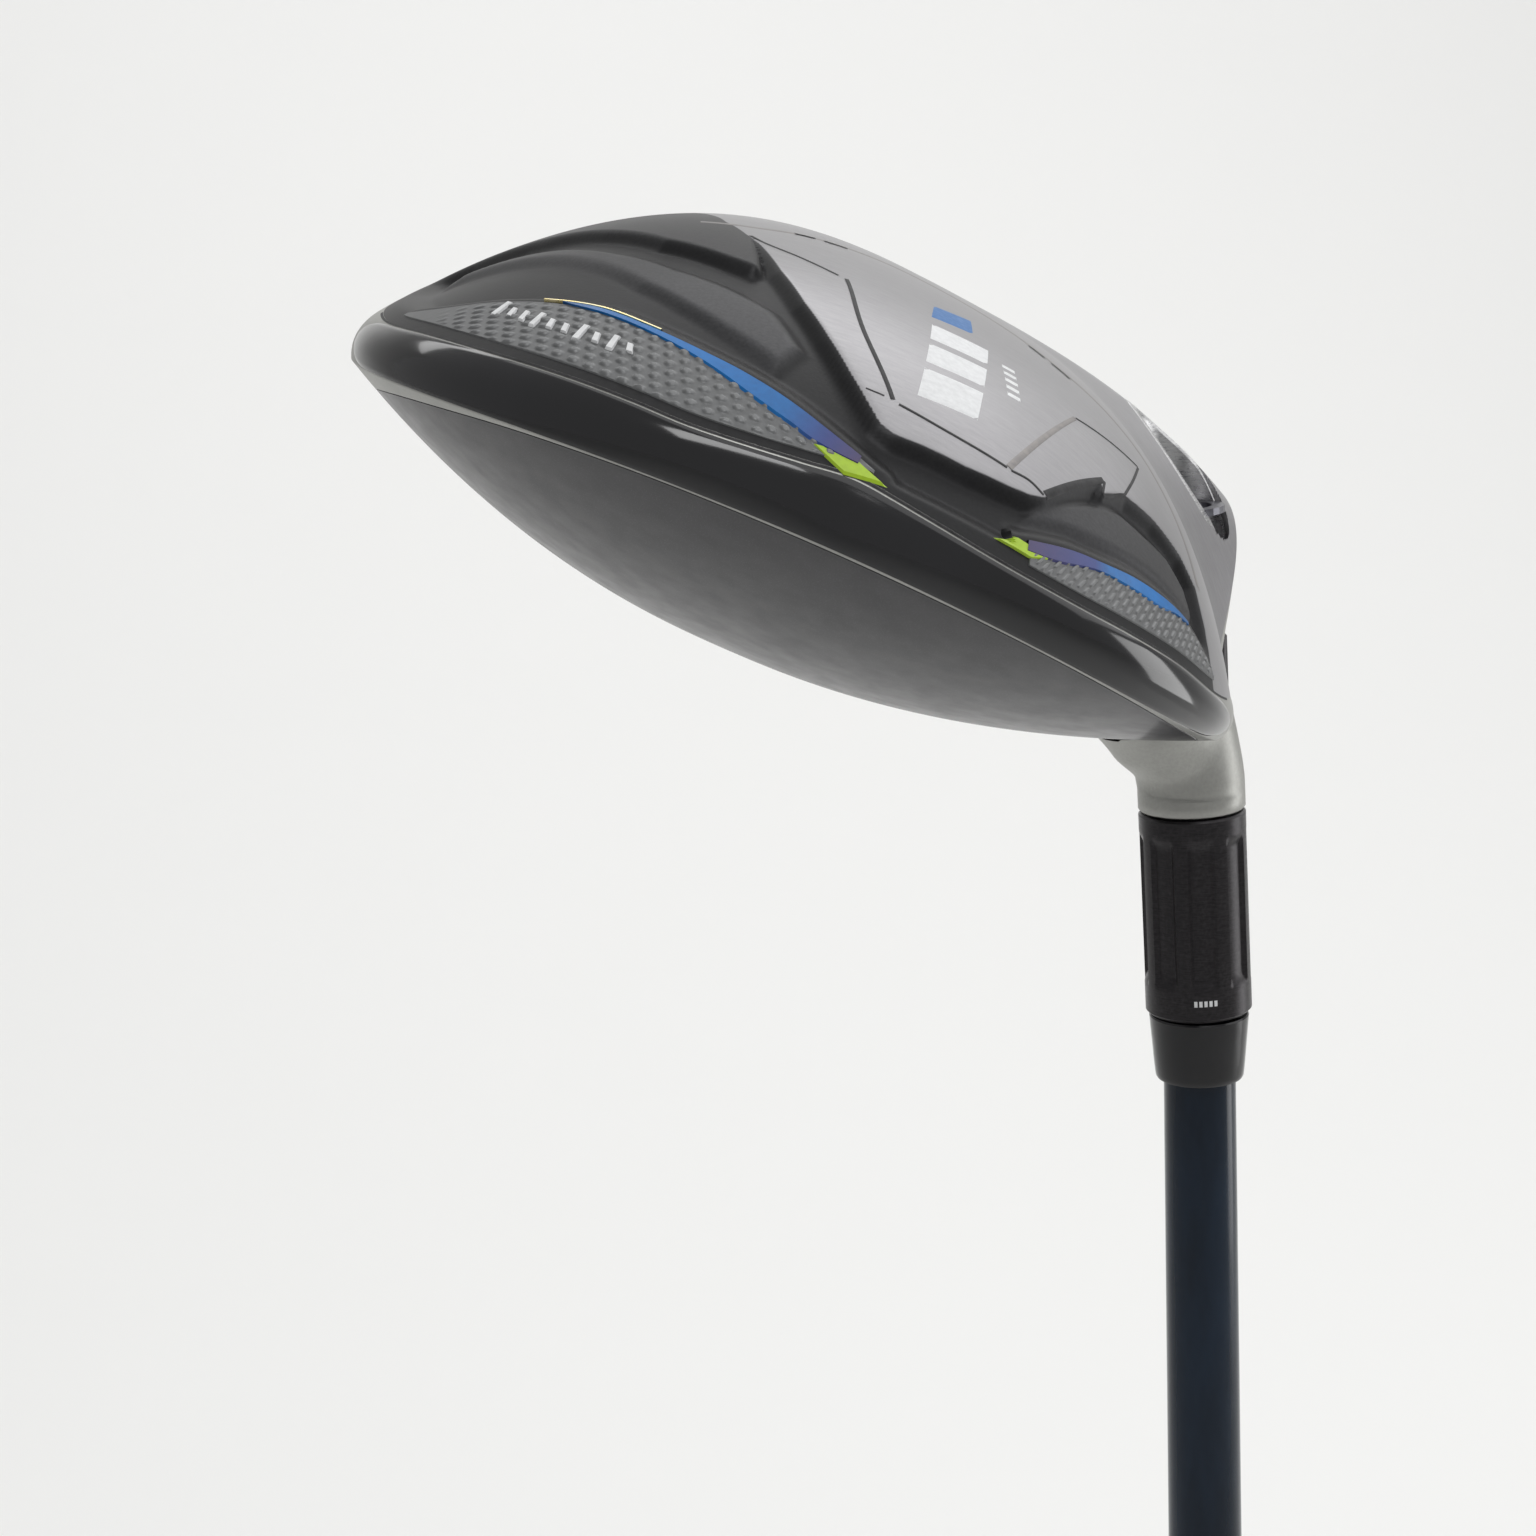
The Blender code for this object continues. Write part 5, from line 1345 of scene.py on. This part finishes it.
def crown_finish(finishes):
    """Satin metallic paint with fine flakes under a soft clear coat."""
    finish = Finish("crown_satin_metallic", 0.3, 0.05, 0.25, 0.12, 0.3)
    flakes = finish.cells(5200)
    cloud = finish.noise(40, 2.0)
    base = finish.mixed(finish.span(cloud, 0.3, 0.7), tinted(finishes.crown_paint, 0.98), tinted(finishes.crown_paint, 1.03))
    spark = finish.mixed(finish.span(flakes, 0.0, 0.32, 0.5, 0.0), base, (0.10, 0.095, 0.115))
    finish.colour(spark)
    finish.roughness(finish.span(finish.noise(300, 2.0), 0.3, 0.7, 0.34, 0.42))
    finish.bump(flakes, 0.06, 0.00003)
    return finish.material


def skirt_finish(finishes):
    """Deep gloss black with a slight orange peel."""
    finish = Finish("skirt_gloss_black", 0.12, 0.0, 0.3, 0.03)
    cloud = finish.noise(60, 2.0)
    finish.colour(finish.mixed(finish.span(cloud, 0.3, 0.7), tuple(finishes.skirt_paint), tinted(finishes.skirt_paint, 1.9)))
    finish.bump(finish.noise(700, 2.0), 0.04, 0.00004)
    return finish.material


def badge_finish(finishes):
    """Grey resin, lighter on its raised texture."""
    finish = Finish("badge_resin_textured", 0.4, 0.45)
    raised = finish.span(finish.value("raised"), 0.02, 0.14, 0.0, 1.0, True)
    speck = finish.noise(1800, 2.0)
    base = finish.mixed(finish.span(speck, 0.3, 0.7), tinted(finishes.badge_resin, 0.85), tinted(finishes.badge_resin, 1.1))
    # Painted highlight: the raised texture is tinted lighter, standing for the light that catches its tops.
    finish.colour(finish.mixed(raised, base, tinted(finishes.badge_resin, 1.3)))
    finish.roughness(finish.span(speck, 0.3, 0.7, 0.36, 0.46))
    finish.bump(speck, 0.12, 0.00004)
    return finish.material


def bright_edge_finish():
    finish = Finish("badge_edge_bright", 0.28, 0.9)
    speck = finish.noise(900, 2.0)
    finish.colour(finish.mixed(finish.span(speck, 0.3, 0.7), (0.80, 0.66, 0.30), (0.92, 0.82, 0.52)))
    finish.roughness(finish.span(speck, 0.3, 0.7, 0.22, 0.34))
    return finish.material


def stripe_finish(name, finishes, stops):
    """Paint that runs from dark through bright blue to violet along the stripe."""
    finish = Finish(name, 0.34, 0.0, 0.12, 0.08, 0.35)
    blue = tuple(finishes.accent_blue)
    tints = ((0.02, 0.10, 0.28), blue, tinted(blue, 1.25), blue, (0.03, 0.05, 0.22), (0.07, 0.05, 0.13))
    run = finish.ramp(finish.value("run"), list(zip(stops, tints)))
    speck = finish.noise(1200, 2.0)
    finish.colour(finish.mixed(finish.span(speck, 0.4, 0.8, 0.0, 0.25), run, (0.0, 0.04, 0.15)))
    finish.bump(speck, 0.05, 0.00003)
    return finish.material


def paint_finish(name, tint, roughness):
    """Printed paint with faint unevenness."""
    finish = Finish(name, roughness)
    speck = finish.noise(1500, 3.0)
    finish.colour(finish.mixed(finish.span(speck, 0.3, 0.75), tinted(tint, 1.0), tinted(tint, 0.86)))
    finish.roughness(finish.span(speck, 0.3, 0.7, roughness - 0.05, roughness + 0.07))
    finish.bump(speck, 0.08, 0.00003)
    return finish.material


def groove_finish():
    if known("groove_dark"):
        return known("groove_dark")
    finish = Finish("groove_dark", 0.55, 0.3)
    speck = finish.noise(1100, 2.0)
    finish.colour(finish.mixed(finish.span(speck, 0.3, 0.7), (0.008, 0.008, 0.009), (0.03, 0.029, 0.031)))
    finish.bump(speck, 0.1, 0.00004)
    return finish.material


def bevel_finish():
    finish = Finish("keel_bevel_metal", 0.42, 0.8)
    speck = finish.noise(1100, 2.0)
    finish.colour(finish.mixed(finish.span(speck, 0.3, 0.7), (0.19, 0.18, 0.18), (0.27, 0.255, 0.245)))
    finish.roughness(finish.span(speck, 0.3, 0.7, 0.38, 0.48))
    return finish.material


def machined_finish():
    finish = Finish("machined_steel", 0.3, 1.0)
    turned = finish.noise(900, 2.0, 0.5, (1.0, 1.0, 6.0))
    finish.colour(finish.mixed(finish.span(turned, 0.3, 0.7), (0.42, 0.42, 0.43), (0.6, 0.6, 0.6)))
    finish.roughness(finish.span(turned, 0.3, 0.7, 0.24, 0.38))
    finish.bump(turned, 0.15, 0.00004)
    return finish.material


def face_finish():
    """Milled face: fine lines across, dark in the grooves."""
    finish = Finish("face_milled_steel", 0.36, 1.0)
    milled = finish.noise(300, 2.0, 0.5, (1.0, 1.0, 14.0))
    base = finish.mixed(finish.span(milled, 0.3, 0.7), (0.30, 0.30, 0.31), (0.42, 0.42, 0.42))
    # Painted shade: the score lines' recesses are darkened in colour, on top of their cut depth.
    finish.colour(finish.mixed(finish.value("groove"), base, (0.03, 0.03, 0.03)))
    finish.roughness(finish.span(milled, 0.3, 0.7, 0.3, 0.44))
    finish.bump(milled, 0.2, 0.00005)
    return finish.material


def anodised_finish(finishes):
    """Dark anodised aluminium with fine turning marks."""
    finish = Finish("sleeve_anodised_skin", 0.34, 0.75)
    turned = finish.noise(700, 3.0, 0.5, (1.0, 1.0, 9.0))
    speck = finish.noise(2200, 2.0)
    tone = finish.mixed(finish.span(turned, 0.3, 0.7), tinted(finishes.sleeve_anodise, 0.8), tinted(finishes.sleeve_anodise, 1.3))
    finish.colour(finish.mixed(finish.span(speck, 0.45, 0.8, 0.0, 0.4), tone, tinted(finishes.sleeve_anodise, 2.2)))
    finish.roughness(finish.span(turned, 0.3, 0.7, 0.28, 0.4))
    finish.bump(turned, 0.1, 0.00004)
    return finish.material


def gloss_finish(name, tint, roughness, coat):
    finish = Finish(name, roughness, 0.0, coat, 0.04)
    speck = finish.noise(500, 2.0)
    finish.colour(finish.mixed(finish.span(speck, 0.3, 0.7), tint, tinted(tint, 1.8)))
    finish.roughness(finish.span(speck, 0.3, 0.7, roughness - 0.04, roughness + 0.05))
    finish.bump(speck, 0.04, 0.00004)
    return finish.material


def shaft_finish(finishes):
    """Navy gloss over faint fibre plies."""
    finish = Finish("shaft_gloss_navy", 0.2, 0.0, 0.1, 0.04, 0.25)
    plies = finish.noise(160, 3.0, 0.6, (1.0, 1.0, 0.25))
    finish.colour(finish.mixed(finish.span(plies, 0.35, 0.7), tinted(finishes.shaft_paint, 0.8), tinted(finishes.shaft_paint, 1.7)))
    finish.roughness(finish.span(plies, 0.3, 0.7, 0.16, 0.26))
    finish.bump(finish.noise(600, 2.0), 0.03, 0.00004)
    return finish.material


def rubber_finish(name, tint, grain_scale):
    finish = Finish(name, 0.7, 0.0, 0.0, 0.1, 0.35)
    grain = finish.noise(grain_scale, 4.0)
    dust = finish.noise(120, 3.0)
    tone = finish.mixed(finish.span(grain, 0.3, 0.7), tinted(tint, 0.75), tinted(tint, 1.5))
    finish.colour(finish.mixed(finish.span(dust, 0.55, 0.85, 0.0, 0.4), tone, tinted(tint, 2.4)))
    finish.roughness(finish.span(dust, 0.3, 0.7, 0.62, 0.78))
    finish.bump(grain, 0.35, 0.00012)
    return finish.material


def dress_fasteners():
    """New materials for the solids that keep their packed shape."""
    steel = Finish("screw_plated_steel", 0.3, 1.0)
    turned = steel.noise(1300, 2.0, 0.5, (1.0, 1.0, 4.0))
    steel.colour(steel.mixed(steel.span(turned, 0.3, 0.7), (0.36, 0.36, 0.38), (0.55, 0.55, 0.56)))
    steel.roughness(steel.span(turned, 0.3, 0.7, 0.22, 0.38))
    steel.bump(turned, 0.12, 0.00004)
    spring = Finish("ring_spring_steel", 0.38, 1.0)
    blued = spring.noise(700, 3.0)
    spring.colour(spring.mixed(spring.span(blued, 0.3, 0.7), (0.10, 0.10, 0.115), (0.2, 0.2, 0.22)))
    spring.roughness(spring.span(blued, 0.3, 0.7, 0.3, 0.45))
    brass = Finish("washer_zinc", 0.34, 1.0)
    zinc = brass.noise(900, 3.0)
    brass.colour(brass.mixed(brass.span(zinc, 0.3, 0.7), (0.5, 0.5, 0.48), (0.66, 0.65, 0.62)))
    brass.roughness(brass.span(zinc, 0.3, 0.7, 0.26, 0.42))
    paper = Finish("tape_crepe", 0.85)
    crepe = paper.noise(900, 4.0, 0.6, (1.0, 1.0, 5.0))
    paper.colour(paper.mixed(paper.span(crepe, 0.3, 0.7), (0.66, 0.62, 0.50), (0.78, 0.75, 0.64)))
    paper.bump(crepe, 0.4, 0.0001)
    for node, finish in (("hosel_screw", steel), ("retaining_ring", spring), ("screw_washer", brass), ("grip_tape", paper)):
        materials = frame["nodes"][node].data.materials
        materials.clear()
        materials.append(finish.material)


# ---------------------------------------------------------------- stage

def build_stage(finishes):
    floor_rows = []
    profile = [(-7.0, 0.0), (-2.0, 0.0), (1.5, 0.0)]
    for k in range(25):
        turn = math.radians(90 * k / 24)
        profile.append((2.0 + 3.0 * math.sin(turn), 3.0 - 3.0 * math.cos(turn)))
    profile.append((5.0, 9.0))
    for y, z in profile:
        floor_rows.append([(x, y, z) for x in np.linspace(-9, 9, 7)])
    grid = np.array(floor_rows)
    mesh = mesh_of("studio_sweep", grid.reshape(-1, 3), grid_faces(len(profile), 7, False)[:, ::-1])
    sweep = bpy.data.objects.new("studio_sweep", mesh)
    bpy.context.scene.collection.objects.link(sweep)
    finish = Finish("studio_paper", 0.95, specular=0.1)
    fibre = finish.noise(6, 2.0)
    finish.colour(finish.mixed(finish.span(fibre, 0.2, 0.8), tinted(finishes.backdrop, 0.995), tuple(finishes.backdrop)))
    mesh.materials.append(finish.material)

    world = bpy.data.worlds.new("studio_air")
    world.use_nodes = True
    back = world.node_tree.nodes["Background"]
    back.inputs["Color"].default_value = (1.0, 1.0, 1.0, 1.0)
    back.inputs["Strength"].default_value = 0.4
    bpy.context.scene.world = world
    scene = bpy.context.scene
    scene.view_settings.view_transform = "Standard"

    aim = Vector(SLEEVE_END) + Vector((-0.05, 0, 0.03))
    softbox("high_softbox", aim + Vector((0.15, -1.0, 1.45)), aim, (1.0, 0.4), 7)
    softbox("side_softbox", aim + Vector((1.7, 0.3, -0.2)), aim, (0.7, 1.0), 6)
    softbox("top_softbox", aim + Vector((1.2, 0.5, 1.8)), aim, (3.6, 3.6), 36)
    softbox("sweep_light", Vector((0, 2.4, 3.8)), Vector((0, 4.4, 0.4)), (5.0, 2.0), 78)


def softbox(name, position, aim, size, power):
    light = bpy.data.lights.new(name, "AREA")
    light.shape = "RECTANGLE"
    light.size, light.size_y = size
    light.energy = power
    lamp = bpy.data.objects.new(name, light)
    bpy.context.scene.collection.objects.link(lamp)
    lamp.location = position
    lamp.rotation_euler = (aim - position).to_track_quat("-Z", "Y").to_euler()


def build_camera():
    rise = math.radians(12.47)
    roll = math.radians(-2.48)
    distance = 0.3512
    target = SLEEVE_END + Vector((-50.26, 0.0, 31.78)) * MM
    back = Vector((0, -math.cos(rise), math.sin(rise)))
    right = Vector((1, 0, 0))
    up = back.cross(right)
    across = right * math.cos(roll) + up * math.sin(roll)
    upward = up * math.cos(roll) - right * math.sin(roll)
    lens = bpy.data.cameras.new("bench_camera")
    lens.sensor_width = 36.0
    lens.lens = 70.14
    lens.clip_start = 0.01
    lens.clip_end = 50
    lens.dof.use_dof = False
    camera = bpy.data.objects.new("bench_camera", lens)
    bpy.context.scene.collection.objects.link(camera)
    turn = Matrix((across, upward, back)).transposed().to_4x4()
    camera.matrix_world = Matrix.Translation(target + back * distance) @ turn
    bpy.context.scene.camera = camera


# ---------------------------------------------------------------- operators

def operator_for(name, label, words, work):
    """An operator class that runs one builder."""

    def execute(self, context):
        work(context.scene.club_finishes)
        return {"FINISHED"}

    return type("CLUB_OT_" + name, (bpy.types.Operator,), {
        "bl_idname": "club." + name, "bl_label": label, "__doc__": words, "execute": execute})


class CLUB_OT_stage(bpy.types.Operator):
    """Add the sweep, the lights and the camera"""
    bl_idname = "club.stage"
    bl_label = "Stage"

    def execute(self, context):
        build_stage(context.scene.club_finishes)
        build_camera()
        return {"FINISHED"}


class CLUB_OT_casting(bpy.types.Operator):
    """Build the head's casting with its keel and flanks, the hosel's neck and the screw's recess"""
    bl_idname = "club.casting"
    bl_label = "Casting"

    def execute(self, context):
        form = head_form()
        build_casting(form, context.scene.club_finishes)
        build_neck(form, context.scene.club_finishes)
        build_screw_recess(form, context.scene.club_finishes)
        return {"FINISHED"}


class CLUB_OT_crown(bpy.types.Operator):
    """Build the crown shell"""
    bl_idname = "club.crown"
    bl_label = "Crown"

    def execute(self, context):
        build_crown(head_form(), context.scene.club_finishes)
        return {"FINISHED"}


class CLUB_OT_skirt(bpy.types.Operator):
    """Build the gloss band round the skirt and the dark line at the seam"""
    bl_idname = "club.skirt"
    bl_label = "Skirt"

    def execute(self, context):
        build_skirt(head_form(), context.scene.club_finishes)
        build_seam_lines(head_form(), context.scene.club_finishes)
        return {"FINISHED"}


class CLUB_OT_keel(bpy.types.Operator):
    """Build the keel's grooves, bevels and printed marks"""
    bl_idname = "club.keel"
    bl_label = "Keel"

    def execute(self, context):
        build_keel_details(head_form(), context.scene.club_finishes)
        build_marks(head_form(), context.scene.club_finishes)
        return {"FINISHED"}


class CLUB_OT_badges(bpy.types.Operator):
    """Build the two textured crescents with their stripes and chips"""
    bl_idname = "club.badges"
    bl_label = "Badges"

    def execute(self, context):
        build_badges(head_form(), context.scene.club_finishes)
        return {"FINISHED"}


class CLUB_OT_face(bpy.types.Operator):
    """Build the face plate and the slot's insert"""
    bl_idname = "club.face"
    bl_label = "Face and slot"

    def execute(self, context):
        build_face(head_form(), context.scene.club_finishes)
        build_slot(head_form(), context.scene.club_finishes)
        return {"FINISHED"}


class CLUB_OT_sleeve(bpy.types.Operator):
    """Build the loft sleeve and the ferrule"""
    bl_idname = "club.sleeve"
    bl_label = "Sleeve and ferrule"

    def execute(self, context):
        build_sleeve(head_form(), context.scene.club_finishes)
        build_ferrule(head_form(), context.scene.club_finishes)
        return {"FINISHED"}


class CLUB_OT_shaft(bpy.types.Operator):
    """Build the shaft with its bands"""
    bl_idname = "club.shaft"
    bl_label = "Shaft"

    def execute(self, context):
        build_shaft(head_form(), context.scene.club_finishes)
        return {"FINISHED"}


class CLUB_OT_grip(bpy.types.Operator):
    """Build the grip and its cap"""
    bl_idname = "club.grip"
    bl_label = "Grip"

    def execute(self, context):
        build_grip(head_form(), context.scene.club_finishes)
        return {"FINISHED"}


class CLUB_OT_fasteners(bpy.types.Operator):
    """Dress the screw, washer, ring and tape"""
    bl_idname = "club.fasteners"
    bl_label = "Fasteners"

    def execute(self, context):
        dress_fasteners()
        return {"FINISHED"}


STEPS = (
    CLUB_OT_stage, CLUB_OT_casting, CLUB_OT_crown, CLUB_OT_skirt, CLUB_OT_keel, CLUB_OT_badges, CLUB_OT_face,
    CLUB_OT_sleeve, CLUB_OT_shaft, CLUB_OT_grip, CLUB_OT_fasteners,
)


class CLUB_PT_build(bpy.types.Panel):
    """Lists the club's pieces"""
    bl_label = "Fairway Wood"
    bl_space_type = "VIEW_3D"
    bl_region_type = "UI"
    bl_category = "Club"

    def draw(self, context):
        for step in STEPS:
            self.layout.operator(step.bl_idname)


GROUPS = (
    ("club_head", ClubHeadSizes), ("club_neck", ClubNeckSizes), ("club_shaft", ClubShaftSizes),
    ("club_finishes", ClubFinishes),
)


def register():
    for key, group in GROUPS:
        bpy.utils.register_class(group)
        setattr(bpy.types.Scene, key, PointerProperty(type=group))
    for step in STEPS:
        bpy.utils.register_class(step)
    bpy.utils.register_class(CLUB_PT_build)


def unregister():
    bpy.utils.unregister_class(CLUB_PT_build)
    for step in reversed(STEPS):
        bpy.utils.unregister_class(step)
    for key, group in reversed(GROUPS):
        delattr(bpy.types.Scene, key)
        bpy.utils.unregister_class(group)


def main():
    register()
    for step in STEPS:
        group, name = step.bl_idname.split(".")
        getattr(getattr(bpy.ops, group), name)()


if __name__ == "__main__":
    main()
